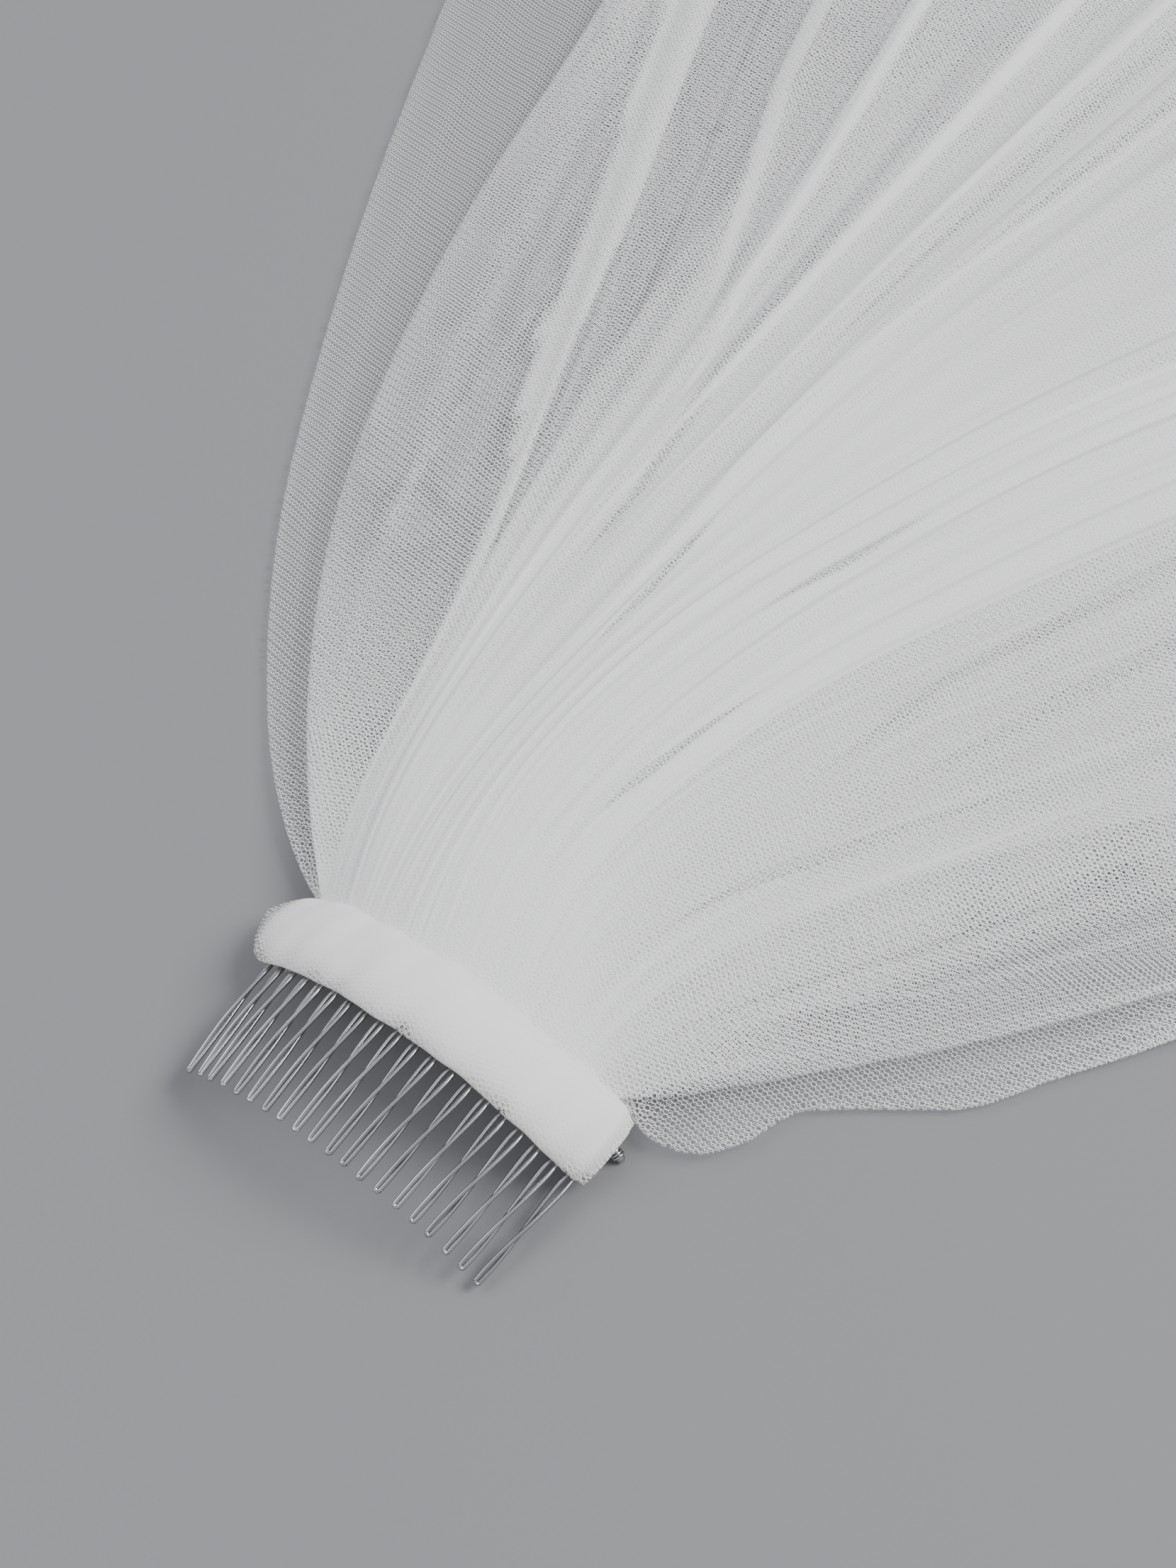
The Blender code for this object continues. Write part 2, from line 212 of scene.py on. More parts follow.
class Graph:
    """A thin hand on a material's node tree."""

    def __init__(self, tree: bpy.types.NodeTree) -> None:
        """Keep the tree."""
        self.tree = tree

    def node(self, kind: str, **settings: object) -> bpy.types.Node:
        """Add a node.

        Args:
            kind: Blender's node type.
            settings: Attributes to set on it.

        Returns:
            The node.
        """
        made = self.tree.nodes.new(kind)
        for key, value in settings.items():
            setattr(made, key, value)
        return made

    def link(self, source: bpy.types.NodeSocket, target: bpy.types.NodeSocket) -> None:
        """Join two sockets."""
        self.tree.links.new(source, target)

    def feed(self, value: object, target: bpy.types.NodeSocket) -> None:
        """Link a socket, or set a plain value.

        Args:
            value: A socket, number or vector.
            target: The socket that receives it.
        """
        if isinstance(value, bpy.types.NodeSocket):
            self.link(value, target)
        else:
            target.default_value = value

    @staticmethod
    def fill(node: bpy.types.Node, values: dict[str, object]) -> None:
        """Set plain values on a node's named inputs.

        Args:
            node: The node.
            values: Names of inputs, and what they are set to.
        """
        for name, value in values.items():
            node.inputs[name].default_value = value

    def math(self, operation: str, *values: object, clamp: bool = False) -> bpy.types.NodeSocket:
        """Add a math node.

        Args:
            operation: Its operation.
            values: Its inputs.
            clamp: True to clamp the result to 0 to 1.

        Returns:
            The output socket.
        """
        made = self.node("ShaderNodeMath", operation=operation, use_clamp=clamp)
        for value, socket in zip(values, made.inputs):
            self.feed(value, socket)
        return made.outputs[0]

    def vector(self, operation: str, *values: object) -> bpy.types.Node:
        """Add a vector math node.

        Args:
            operation: Its operation.
            values: Its inputs.

        Returns:
            The node.
        """
        made = self.node("ShaderNodeVectorMath", operation=operation)
        for value, socket in zip(values, made.inputs):
            self.feed(value, socket)
        return made

    def ranged(
        self, value: object, low: float, high: float, new_low: float, new_high: float
    ) -> bpy.types.NodeSocket:
        """Map a range to another with eased ends.

        Args:
            value: The input.
            low: Input at the new low.
            high: Input at the new high.
            new_low: Output at low.
            new_high: Output at high.

        Returns:
            The output socket.
        """
        made = self.node("ShaderNodeMapRange", interpolation_type="SMOOTHSTEP")
        for given, socket in zip((value, low, high, new_low, new_high), made.inputs):
            self.feed(given, socket)
        return made.outputs[0]


@dataclass(frozen=True)
class NetCells:
    """The six-sided cells of the tulle, as a group that gives 1 on a thread and 0 in a hole."""

    pitch_mm: float = 1.0
    thread_mm: float = 0.04
    soft_mm: float = 0.05

    def group(self) -> bpy.types.NodeTree:
        """Make the group, or return it if it is there.

        Returns:
            The node group, with Place in metres and Turn in radians as inputs.
        """
        name = f"net_cells_{self.pitch_mm:.2f}_{self.thread_mm:.2f}"
        if name in bpy.data.node_groups:
            return bpy.data.node_groups[name]
        tree = bpy.data.node_groups.new(name, "ShaderNodeTree")
        face = tree.interface
        face.new_socket("Place", in_out="INPUT", socket_type="NodeSocketVector")
        face.new_socket("Turn", in_out="INPUT", socket_type="NodeSocketFloat")
        face.new_socket("Thread", in_out="OUTPUT", socket_type="NodeSocketFloat")
        graph = Graph(tree)
        given = graph.node("NodeGroupInput")
        made = graph.node("NodeGroupOutput")
        turned = graph.node("ShaderNodeVectorRotate", rotation_type="Z_AXIS")
        graph.link(given.outputs["Place"], turned.inputs["Vector"])
        graph.link(given.outputs["Turn"], turned.inputs["Angle"])
        scale = 1000.0 / self.pitch_mm
        flat = graph.vector("MULTIPLY", turned.outputs[0], (scale, scale, 0.0))
        step = (1.0, math.sqrt(3.0), 1.0)
        half = (0.5, math.sqrt(3.0) / 2.0, 0.5)
        first = self.centred(graph, flat.outputs[0], step, half)
        moved = graph.vector("ADD", flat.outputs[0], half)
        second = self.centred(graph, moved.outputs[0], step, half)
        near = graph.math(
            "LESS_THAN",
            graph.vector("LENGTH", first).outputs["Value"],
            graph.vector("LENGTH", second).outputs["Value"],
        )
        pick = graph.node("ShaderNodeMix", data_type="VECTOR")
        graph.link(near, pick.inputs["Factor"])
        graph.link(second, pick.inputs[4])
        graph.link(first, pick.inputs[5])
        sides = graph.vector("ABSOLUTE", pick.outputs[1]).outputs[0]
        slant = graph.vector("DOT_PRODUCT", sides, (0.5, math.sqrt(3.0) / 2.0, 0.0)).outputs["Value"]
        split = graph.node("ShaderNodeSeparateXYZ")
        graph.link(sides, split.inputs[0])
        reach = graph.math("MAXIMUM", slant, split.outputs[0])
        edge = graph.math("SUBTRACT", 0.5, reach)
        half_thread = self.thread_mm / self.pitch_mm / 2.0
        soft = self.soft_mm / self.pitch_mm / 2.0
        thread = graph.ranged(edge, half_thread - soft, half_thread + soft, 1.0, 0.0)
        graph.link(thread, made.inputs[0])
        return tree

    @staticmethod
    def centred(graph: Graph, place: object, step: tuple, half: tuple) -> bpy.types.NodeSocket:
        """Fold a place into one cell of a lattice, measured from the cell's middle.

        Args:
            graph: The graph to add to.
            place: The place's socket.
            step: Size of the lattice's cell.
            half: Half of that.

        Returns:
            The folded place.
        """
        folded = graph.vector("WRAP", place, step, (0.0, 0.0, 0.0)).outputs[0]
        return graph.vector("SUBTRACT", folded, half).outputs[0]


@dataclass(frozen=True)
class TulleFinish:
    """Soft net: white threads, and holes that fill as more plies lie on each other, with painted shade
    on the plies seen through the holes and painted light where many plies stack.
    """

    name: str
    colour: tuple[float, float, float] = (0.92, 0.925, 0.93)
    # Painted shade: the plies seen through the holes keep this share of the colour.
    hollow_shade: float = 0.86
    roughness: float = 0.85
    cells: NetCells = field(default_factory=NetCells)
    turns_deg: tuple[float, ...] = (8.0, -21.0, 37.0)
    ply_cover: float = 0.10
    waver_mm: float = 1.2
    waver_scale: float = 38.0
    # Painted light: from the first to the second number of plies the tulle is lifted back to its full
    # colour, as light bounced between stacked plies.
    stack_light_plies: tuple[float, float] = (9.0, 20.0)
    thread_bump: float = 0.02
    bump_depth: float = 0.0002

    def material(self) -> bpy.types.Material:
        """Build the material.

        Returns:
            The material. It reads the float attribute plies.
        """
        made = bpy.data.materials.new(self.name)
        made.use_nodes = True
        graph = Graph(made.node_tree)
        shader = made.node_tree.nodes["Principled BSDF"]
        soft = {"Roughness": self.roughness, "Sheen Weight": 0.25, "Sheen Roughness": 0.5}
        graph.fill(shader, {**soft, "Specular IOR Level": 0.25})
        place = graph.node("ShaderNodeTexCoord").outputs["Object"]
        waver = graph.node("ShaderNodeTexNoise", noise_dimensions="3D")
        graph.fill(waver, {"Scale": self.waver_scale, "Detail": 1.0})
        graph.link(place, waver.inputs["Vector"])
        pulled = graph.vector("SUBTRACT", waver.outputs["Color"], (0.5, 0.5, 0.5)).outputs[0]
        shift = graph.vector("SCALE", pulled)
        graph.fill(shift, {"Scale": self.waver_mm * MM * 2.0})
        place = graph.vector("ADD", place, shift.outputs[0]).outputs[0]
        plies = graph.node("ShaderNodeAttribute", attribute_name="plies").outputs["Fac"]
        drawn = float(len(self.turns_deg))
        past = graph.math("MAXIMUM", graph.math("SUBTRACT", plies, drawn), 0.0)
        clear = graph.math("POWER", 1.0 - self.ply_cover, past)
        threads = None
        for level, turn in enumerate(self.turns_deg):
            cell = graph.node("ShaderNodeGroup", node_tree=self.cells.group())
            offset = graph.vector("ADD", place, (0.013 * level, 0.007 * level, 0.0)).outputs[0]
            graph.link(offset, cell.inputs["Place"])
            graph.fill(cell, {"Turn": math.radians(turn)})
            there = graph.math("SUBTRACT", plies, float(level), clamp=True)
            seen = graph.math("MULTIPLY", there, cell.outputs[0])
            clear = graph.math("MULTIPLY", clear, graph.math("SUBTRACT", 1.0, seen))
            threads = seen if threads is None else graph.math("MAXIMUM", threads, seen)
        graph.link(graph.math("SUBTRACT", 1.0, clear), shader.inputs["Alpha"])
        # Painted shade and light: threads take the full colour, the plies seen through the holes a
        # darker one in their painted shade, and many stacked plies are lifted back to the full colour
        # as painted light.
        tone = graph.node("ShaderNodeMix", data_type="RGBA")
        stack_light = graph.ranged(plies, *self.stack_light_plies, 0.0, 1.0)
        graph.link(graph.math("MAXIMUM", threads, stack_light), tone.inputs["Factor"])
        tone.inputs[6].default_value = (*(self.hollow_shade * part for part in self.colour), 1.0)
        tone.inputs[7].default_value = (*self.colour, 1.0)
        graph.link(tone.outputs[2], shader.inputs["Base Color"])
        bump = graph.node("ShaderNodeBump")
        graph.fill(bump, {"Strength": self.thread_bump, "Distance": self.bump_depth})
        graph.link(threads, bump.inputs["Height"])
        graph.link(bump.outputs[0], shader.inputs["Normal"])
        return made


@dataclass(frozen=True)
class WireFinish:
    """Silver-coloured steel wire, bright, with faint drawing marks."""

    name: str
    colour: tuple[float, float, float] = (0.62, 0.62, 0.63)
    dull: tuple[float, float, float] = (0.42, 0.42, 0.43)
    roughness: float = 0.17

    def material(self) -> bpy.types.Material:
        """Build the material.

        Returns:
            The material.
        """
        made = bpy.data.materials.new(self.name)
        made.use_nodes = True
        graph = Graph(made.node_tree)
        shader = made.node_tree.nodes["Principled BSDF"]
        graph.fill(shader, {"Metallic": 1.0})
        place = graph.node("ShaderNodeTexCoord").outputs["Object"]
        marks = graph.node("ShaderNodeTexNoise")
        graph.fill(marks, {"Scale": 420.0, "Detail": 1.0})
        stretched = graph.vector("MULTIPLY", place, (1.0, 0.12, 1.0)).outputs[0]
        graph.link(stretched, marks.inputs["Vector"])
        tone = graph.node("ShaderNodeMix", data_type="RGBA")
        graph.link(graph.ranged(marks.outputs["Fac"], 0.35, 0.7, 0.0, 1.0), tone.inputs["Factor"])
        tone.inputs[6].default_value = (*self.dull, 1.0)
        tone.inputs[7].default_value = (*self.colour, 1.0)
        graph.link(tone.outputs[2], shader.inputs["Base Color"])
        worn, bright = self.roughness + 0.07, self.roughness - 0.03
        rough = graph.ranged(marks.outputs["Fac"], 0.3, 0.75, worn, bright)
        graph.link(rough, shader.inputs["Roughness"])
        return made


# ----- The comb -----


@dataclass
class CombFrame:
    """The bowed comb's own coordinates in millimetres, and where they lie in the row frame."""

    radius: float = 61.0
    top: float = 17.7
    spine_y: float = 9.5
    spine_radius: float = 0.9
    spine_left: float = -42.0
    spine_right: float = 46.7
    origin: np.ndarray = field(default_factory=lambda: np.zeros(3))

    def __post_init__(self) -> None:
        """Find the comb's place from the spine's box."""
        low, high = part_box("comb_spine")
        ends = [arc / self.radius for arc in (self.spine_left, self.spine_right)]
        left = (self.radius - self.spine_radius) * math.sin(ends[0])
        left = min(left, (self.radius + self.spine_radius) * math.sin(ends[0]))
        right = (self.radius + self.spine_radius) * math.sin(ends[1])
        x = (low.x + high.x) / 2 / MM - (left + right) / 2
        y = (low.y + high.y) / 2 / MM - self.spine_y
        self.origin = np.array((x, y, 0.0))

    def point(self, arc: np.ndarray, y: np.ndarray, out: np.ndarray) -> np.ndarray:
        """Places on the bow.

        Args:
            arc: Distance along the bow from its top.
            y: Distance across it, towards the veil.
            out: Distance outside its centre line.

        Returns:
            Array of points, in millimetres in the row frame.
        """
        arc, y, out = np.broadcast_arrays(np.asarray(arc, float), y, out)
        angle = arc / self.radius
        reach = self.radius + out
        x = reach * np.sin(angle)
        z = self.top - self.radius + reach * np.cos(angle)
        return np.stack([x, y, z], axis=-1) + self.origin


@dataclass
class WireComb:
    """The comb: a spine wound with fine wire, and hairpin teeth that cross on their way down."""

    place: CombFrame
    count: int = 20
    pitch: float = 4.1
    shift: float = 2.75
    wire: float = 0.42
    length: float = 25.2
    droop: float = 2.6
    tip_half_gap: float = 0.44
    hook_radius: float = 1.75
    coil_wire: float = 0.26
    coil_pitch: float = 0.62
    # y, half of the gap between the legs, and how far the pair has turned in degrees
    stations: tuple[tuple[float, float, float], ...] = (
        (7.0, 1.50, -90.0),
        (4.5, 0.95, -100.0),
        (2.5, 0.45, -120.0),
        (1.2, 0.46, -158.0),
        (0.0, 0.66, -165.0),
        (-2.5, 0.74, -160.0),
        (-5.5, 0.62, -150.0),
        (-8.5, 0.50, -128.0),
        (-11.5, 0.45, -98.0),
        (-14.5, 0.45, -65.0),
        (-18.0, 0.47, -32.0),
        (-22.0, 0.50, -8.0),
    )

    def leg_point(self, arc: float, y: float, gap: float, turn_deg: float, side: float) -> np.ndarray:
        """One point on a leg.

        Args:
            arc: The tooth's place along the bow.
            y: Distance across the bow.
            gap: Half of the gap between the legs.
            turn_deg: -90 where the legs lie above each other, 0 or -180 side by side.
            side: 1 or -1, the leg.

        Returns:
            The point in millimetres.
        """
        turn = math.radians(turn_deg)
        droop = self.droop * max(-y / self.length, 0.0) ** 1.5
        beside, above = side * gap * math.cos(turn), side * gap * math.sin(turn)
        return self.place.point(arc + beside, y, above - droop)

    def tooth_path(self, index: int) -> np.ndarray:
        """The closed path of one hairpin, a little different on each tooth.

        Args:
            index: The tooth's number from the left, from 0.

        Returns:
            Array of points in millimetres.
        """
        arc = self.shift + (index - (self.count - 1) / 2) * self.pitch
        chance = np.random.default_rng(100 + index)
        lean, spread, twist = chance.uniform(-1.0, 1.0, 3)
        tip_y = self.tip_half_gap + self.wire - self.length + 0.25 * chance.uniform(-1.0, 0.2)
        legs = []
        for side in (1.0, -1.0):
            leg = []
            for y, gap, turn in self.stations:
                down = max(-y / self.length, 0.0)
                sway = 0.30 * lean * down
                wide = gap * (1.0 + 0.10 * spread) if y < 1.0 else gap
                leg.append(self.leg_point(arc + sway, y, wide, turn + 5.0 * twist * down, side))
            legs.append(leg)
        tip = []
        for angle in range(0, 181, 20):
            turn = math.radians(angle)
            beside = self.tip_half_gap * math.cos(turn)
            y = tip_y - self.tip_half_gap * math.sin(turn)
            tip.append(self.leg_point(arc + 0.30 * lean + beside, y, 0.0, 0.0, 1.0))
        hook = []
        for angle in range(80, -81, -20):
            turn = math.radians(angle)
            y = self.place.spine_y + self.hook_radius * math.cos(turn)
            hook.append(self.place.point(arc, y, self.hook_radius * math.sin(turn)))
        return self.rounded(np.array(legs[0] + tip + legs[1][::-1] + hook))

    @staticmethod
    def rounded(path: np.ndarray, parts: int = 3) -> np.ndarray:
        """Run a closed smooth curve through points.

        Args:
            path: The points.
            parts: Number of pieces between two points.

        Returns:
            The finer path.
        """
        before, after, last = np.roll(path, 1, 0), np.roll(path, -1, 0), np.roll(path, -2, 0)
        fine = []
        for part in range(parts):
            t = part / parts
            fine.append(
                0.5
                * (
                    2 * path
                    + (after - before) * t
                    + (2 * before - 5 * path + 4 * after - last) * t**2
                    + (3 * path - before - 3 * after + last) * t**3
                )
            )
        return np.stack(fine, axis=1).reshape(-1, 3)

    def build(self, material: bpy.types.Material) -> None:
        """Build the teeth, the spine and its winding.

        Args:
            material: The wire's material.
        """
        for index in range(self.count):
            name = f"comb_tooth_{index + 1:02d}"
            mesh = tube_mesh(f"wire_{name}", self.tooth_path(index), self.wire, 12, True)
            piece = add_piece(f"wire_{name}", mesh, material)
            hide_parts(name)
            report(piece)
        arcs = np.linspace(self.place.spine_left, self.place.spine_right, 60)
        path = self.place.point(arcs, self.place.spine_y, 0.0)
        bar = tube_mesh("spine_bar", path, self.place.spine_radius, 16, False)
        piece = add_piece("spine_bar", bar, material)
        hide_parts("comb_spine")
        report(piece)
        self.build_winding(material)

    def build_winding(self, material: bpy.types.Material) -> None:
        """Wind the fine wire round the spine.

        Args:
            material: The wire's material.
        """
        left, right = self.place.spine_left + 0.6, self.place.spine_right - 0.3
        turns = (right - left) / self.coil_pitch
        angle = np.linspace(0.0, 2.0 * math.pi * turns, int(turns * 10))
        arcs = np.linspace(left, right, len(angle))
        reach = self.place.spine_radius + self.coil_wire * 0.9
        y = self.place.spine_y + reach * np.sin(angle)
        path = self.place.point(arcs, y, reach * np.cos(angle))
        mesh = tube_mesh("spine_winding", path, self.coil_wire, 6, False)
        report(add_piece("spine_winding", mesh, material))


# ----- The binding band -----


@dataclass
class BindingBand:
    """The folded strip of tulle round the spine, plump, its left end rounded and its right one cut."""

    place: CombFrame
    half_length: float = 44.25
    lobe_reach: float = 0.3
    half_width: float = 8.0
    half_height: float = 3.7
    centre_y: float = 7.9
    lip_angle: float = 158.0
    under_angle: float = 132.0
    roundness: float = 0.82
    columns: int = 180
    rows: int = 72
    left_run: float = 7.6
    lobe_lift: float = 3.9
    lobe_back: float = 1.2
    right_run: float = 3.5
    cut_slant: float = 0.03
    outer_skin: float = 0.75
    inner_skin: float = -0.45
    lip_rows: int = 5

    def build(self, material: bpy.types.Material) -> bpy.types.Object:
        """Build the strip's outer face, its rounded lips and its inner face as one sheet.

        Args:
            material: The band's tulle.

        Returns:
            The band.
        """
        share = np.linspace(-1.0, 1.0, self.columns)[:, None]
        arc = self.half_length * np.sin(share * math.pi / 2)
        arc = arc - self.lobe_reach * smooth(-3.0 * share - 2.0)
        turn = np.linspace(-1.0, 1.0, self.rows)[None, :]
        outer = self.skin(arc, turn, self.outer_skin)
        inner = self.skin(arc, turn, self.inner_skin)
        lips = np.linspace(0.0, 1.0, self.lip_rows + 2)[1:-1]
        first = self.lip(outer, inner, 0, lips)
        last = self.lip(outer, inner, -1, lips)
        sheet = np.concatenate([outer, last, inner[:, ::-1], first[:, ::-1]], axis=1)
        count, ring, round_lip = self.rows, sheet.shape[1], self.lip_rows + 1
        facing = 2 * count + self.lip_rows - 1
        walls = tuple((k, k + 1, facing - 1 - k, facing - k) for k in range(count - 1))
        lip_faces = (tuple(range(count - 1, count + round_lip)), (*range(ring - round_lip, ring), 0))
        mesh = quad_mesh("band_strip", sheet * MM, closed=True, ends=walls + lip_faces)
        lip = np.ones(self.lip_rows)
        angle = np.concatenate([turn[0], lip, turn[0, ::-1], -lip])
        plies = self.plies(arc, angle[None, :])
        mesh.attributes.new("plies", "FLOAT", "POINT").data.foreach_set("value", plies.reshape(-1))
        piece = add_piece("band_strip", mesh, material)
        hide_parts("binding_band")
        report(piece)
        return piece

    def skin(self, arc: np.ndarray, turn: np.ndarray, proud: float) -> np.ndarray:
        """One face of the folded strip.

        Args:
            arc: Distances along the bow, as a column.
            turn: Places round the section from -1, the lower lip, to 1, the upper lip, as a row.
            proud: Distance outside the wall's middle.

        Returns:
            Array of points in millimetres.
        """
        angle = np.radians(np.where(turn > 0.0, self.lip_angle, self.under_angle) * turn)
        left = np.clip((self.half_length + self.lobe_reach + arc) / self.left_run, 0.0, 1.0)
        right = np.clip((self.half_length - arc) / self.right_run, 0.0, 1.0)
        lobe = np.sqrt(np.clip(1.0 - (1.0 - left) ** 2, 0.0, 1.0))
        slump = 1.0 - 0.10 * np.exp(-(((arc + 20.0) / 9.0) ** 2))
        slump = slump + 0.06 * np.exp(-(((arc - 8.0) / 14.0) ** 2))
        tip = 0.08 + 0.92 * lobe
        height = self.half_height * tip * (0.45 + 0.55 * smooth(right)) * slump + proud
        width = self.half_width * tip * (0.88 + 0.12 * smooth(right)) + proud
        rise = np.sign(turn) * np.abs(np.sin(angle)) ** self.roundness
        wave = 0.26 * np.sin(arc * 0.19 + 2.0 * turn) + 0.16 * np.sin(arc * 0.43 - 3.1 * turn + 1.0)
        wave = wave + 0.10 * np.sin(arc * 0.83 + 5.0 * turn)
        back = np.clip(1.0 - np.abs(turn - 0.22) / 0.2, 0.0, 1.0)
        creased = 0.30 * smooth(back) * np.sin(26.0 * turn + 0.11 * arc) * smooth((arc + 12.0) / 30.0)
        soft = (wave + creased) * (proud > 0)
        y = self.centre_y + self.lobe_back * (1.0 - lobe) + (width + soft) * np.cos(angle)
        out = (height + soft) * rise + self.lobe_lift * (1.0 - lobe)
        cut = self.cut_slant * smooth((arc - 36.0) / 8.0) * (self.centre_y - y)
        return self.place.point(arc + cut, y, out)

    @staticmethod
    def lip(outer: np.ndarray, inner: np.ndarray, row: int, shares: np.ndarray) -> np.ndarray:
        """Round a lip from the outer face to the inner one.

        Args:
            outer: Points of the outer face.
            inner: Points of the inner face.
            row: The row of both that the lip joins.
            shares: Places across the lip, from 0 to 1.

        Returns:
            The lip's points, from outer to inner.
        """
        start, end = outer[:, row], inner[:, row]
        beyond = outer[:, row] - outer[:, 2 if row == 0 else -3]
        beyond = beyond / np.linalg.norm(beyond, axis=1, keepdims=True)
        rings = []
        for part in shares:
            bow = math.cos(math.pi * part)
            middle = start * (1 + bow) / 2 + end * (1 - bow) / 2
            rings.append(middle + beyond * 0.6 * math.sin(math.pi * part))
        return np.stack(rings, axis=1)

    def plies(self, arc: np.ndarray, turn: np.ndarray) -> np.ndarray:
        """How many plies of net lie on each other: many, but few at the rounded left end.

        Args:
            arc: Distances along the bow.
            turn: Places round the section.

        Returns:
            The number of plies.
        """
        inside = smooth((arc + self.half_length - 0.5 + 2.5 * turn) / 12.0)
        lobe = 0.9 + 15.0 * inside**1.5
        edge = smooth((self.half_length - arc) / 3.0)
        front = smooth((np.abs(turn) - 0.55) / 0.45)
        thin = 0.66 + 0.14 * np.sin(0.31 * arc + 0.8) + 0.06 * np.sin(0.83 * arc)
        return lobe * (0.3 + 0.7 * edge) * (1.0 - thin * front)


# ----- The cloth -----


@dataclass
class Fan:
    """The guide lines that both tiers follow as they open out from the gather."""

    place: CombFrame
    gather_half: float = 41.25
    gather_shift: float = 0.5
    root_y: float = 16.95
    root_drop: float = 2.1
    reach_middle: float = 150.0
    reach_side: float = 60.0
    length: float = 750.0
    step: float = 2.5
    grain: int = 801
    # share of the gather, then headings in degrees at 0, 15, 50, 120, 220, 320 and 750 mm
    runs: tuple[float, ...] = (0.0, 15.0, 50.0, 120.0, 220.0, 320.0, 750.0)
    guides: tuple[tuple[float, ...], ...] = (
        (-1.00, -68.0, -58.0, -44.0, -31.0, -25.0, -24.0, -21.0),
        (-0.95, -50.0, -48.0, -40.0, -24.0, -12.0, -20.0, -19.0),
        (-0.90, -32.0, -26.0, -17.0, -22.0, -24.0, -17.0, -14.0),
        (-0.80, -28.0, -24.0, -16.0, -9.0, -18.0, -14.0, -12.0),
        (-0.74, -28.0, -24.0, -15.0, -5.0, -12.0, -11.0, -9.0),
        (-0.66, -28.0, -24.0, -14.0, -2.0, 0.0, -2.0, -6.0),
        (-0.50, -20.0, -16.0, -6.0, 1.0, 9.0, 8.0, 2.0),
        (-0.12, -26.0, -20.0, -7.0, 17.0, 30.0, 27.0, 16.0),
        (0.10, -22.0, -16.0, -3.0, 16.0, 32.0, 31.0, 22.0),
        (0.38, -24.0, -17.0, 2.0, 25.0, 32.0, 32.0, 27.0),
        (0.60, -6.0, 1.0, 18.0, 31.0, 33.0, 33.0, 30.0),
        (0.74, 0.0, 8.0, 27.0, 33.0, 34.0, 34.0, 32.0),
        (0.88, 22.0, 28.0, 35.0, 36.0, 35.0, 35.0, 33.0),
        (0.94, 40.0, 42.0, 42.0, 37.0, 36.0, 36.0, 34.0),
        (1.00, 126.0, 41.0, 41.0, 28.0, 33.0, 36.0, 38.0),
    )

    def __post_init__(self) -> None:
        """Draw the lines on a fine grid of shares and runs."""
        self.shares = np.linspace(-1.0, 1.0, self.grain)
        self.stations = np.arange(0.0, self.length + self.step / 2, self.step)
        middles = self.stations[:-1] + self.step / 2
        table = np.array([np.interp(middles, self.runs, row[1:]) for row in self.guides])
        knots = [row[0] for row in self.guides]
        angle = np.radians([np.interp(self.shares, knots, table[:, k]) for k in range(len(middles))]).T
        root = self.place.point(self.gather_shift + self.shares * self.gather_half, self.root_y, 0.0)
        self.root_height = root[:, 2] - self.root_drop
        zero = np.zeros((self.grain, 1))
        aside = np.cumsum(self.step * np.sin(angle), axis=1)
        ahead = np.cumsum(self.step * np.cos(angle), axis=1)
        self.x = root[:, :1] + np.concatenate([zero, aside], axis=1)
        self.y = root[:, 1:2] + np.concatenate([zero, ahead], axis=1)
        across_x = np.gradient(self.x, self.shares, axis=0)
        across_y = np.gradient(self.y, self.shares, axis=0)
        turned = np.concatenate([angle[:, :1], angle], axis=1)
        self.width = np.abs(across_x * np.cos(turned) - across_y * np.sin(turned))

    def read(self, grid: np.ndarray, share: np.ndarray, run: np.ndarray) -> np.ndarray:
        """Read a grid of the fan at any shares and runs.

        Args:
            grid: One of the fan's arrays.
            share: Shares of the gather.
            run: Distances along the lines.

        Returns:
            The values there.
        """
        u = np.clip((share + 1.0) / 2.0 * (self.grain - 1), 0.0, self.grain - 1.001)
        v = np.clip(run / self.step, 0.0, len(self.stations) - 1.001)
        i, j = u.astype(int), v.astype(int)
        a, b = u - i, v - j
        low = grid[i, j] * (1 - a) + grid[i + 1, j] * a
        high = grid[i, j + 1] * (1 - a) + grid[i + 1, j + 1] * a
        return low * (1 - b) + high * b

    def lift(self, share: np.ndarray, run: np.ndarray) -> np.ndarray:
        """Height of the lower tier's underside: the bow at the gather, then level.

        Args:
            share: Shares of the gather.
            run: Distances along the lines.

        Returns:
            Heights in millimetres.
        """
        inside = 1.0 - np.clip(share, -1, 1) ** 2
        reach = self.reach_side + (self.reach_middle - self.reach_side) * inside
        root = np.interp(share, self.shares, self.root_height)
        return root * (1.0 - smooth(run / reach)) ** 1.3


@dataclass(frozen=True)
class Fold:
    """A main fold, as in the solids: share, half width as a share, lean, and its heights."""

    share: float
    half: float
    lean: float
    near: float
    middle: float
    far: float

    def height(self, run: np.ndarray) -> np.ndarray:
        """Height of the crest along the fold."""
        heights = (0.45 * self.near, self.near, self.middle, self.far)
        return np.interp(run, (0.0, 20.0, 113.0, 340.0), heights)

    def field(self, share: np.ndarray, run: np.ndarray) -> np.ndarray:
        """Height that the fold gives each place.

        Args:
            share: Shares of the gather.
            run: Distances along the lines.

        Returns:
            Heights in millimetres.
        """
        crest = self.share + self.lean * self.half
        low, high = self.share - self.half, self.share + self.half
        left = (share - low) / (crest - low)
        right = (high - share) / (high - crest)
        return self.height(run) * smooth(np.minimum(left, right))


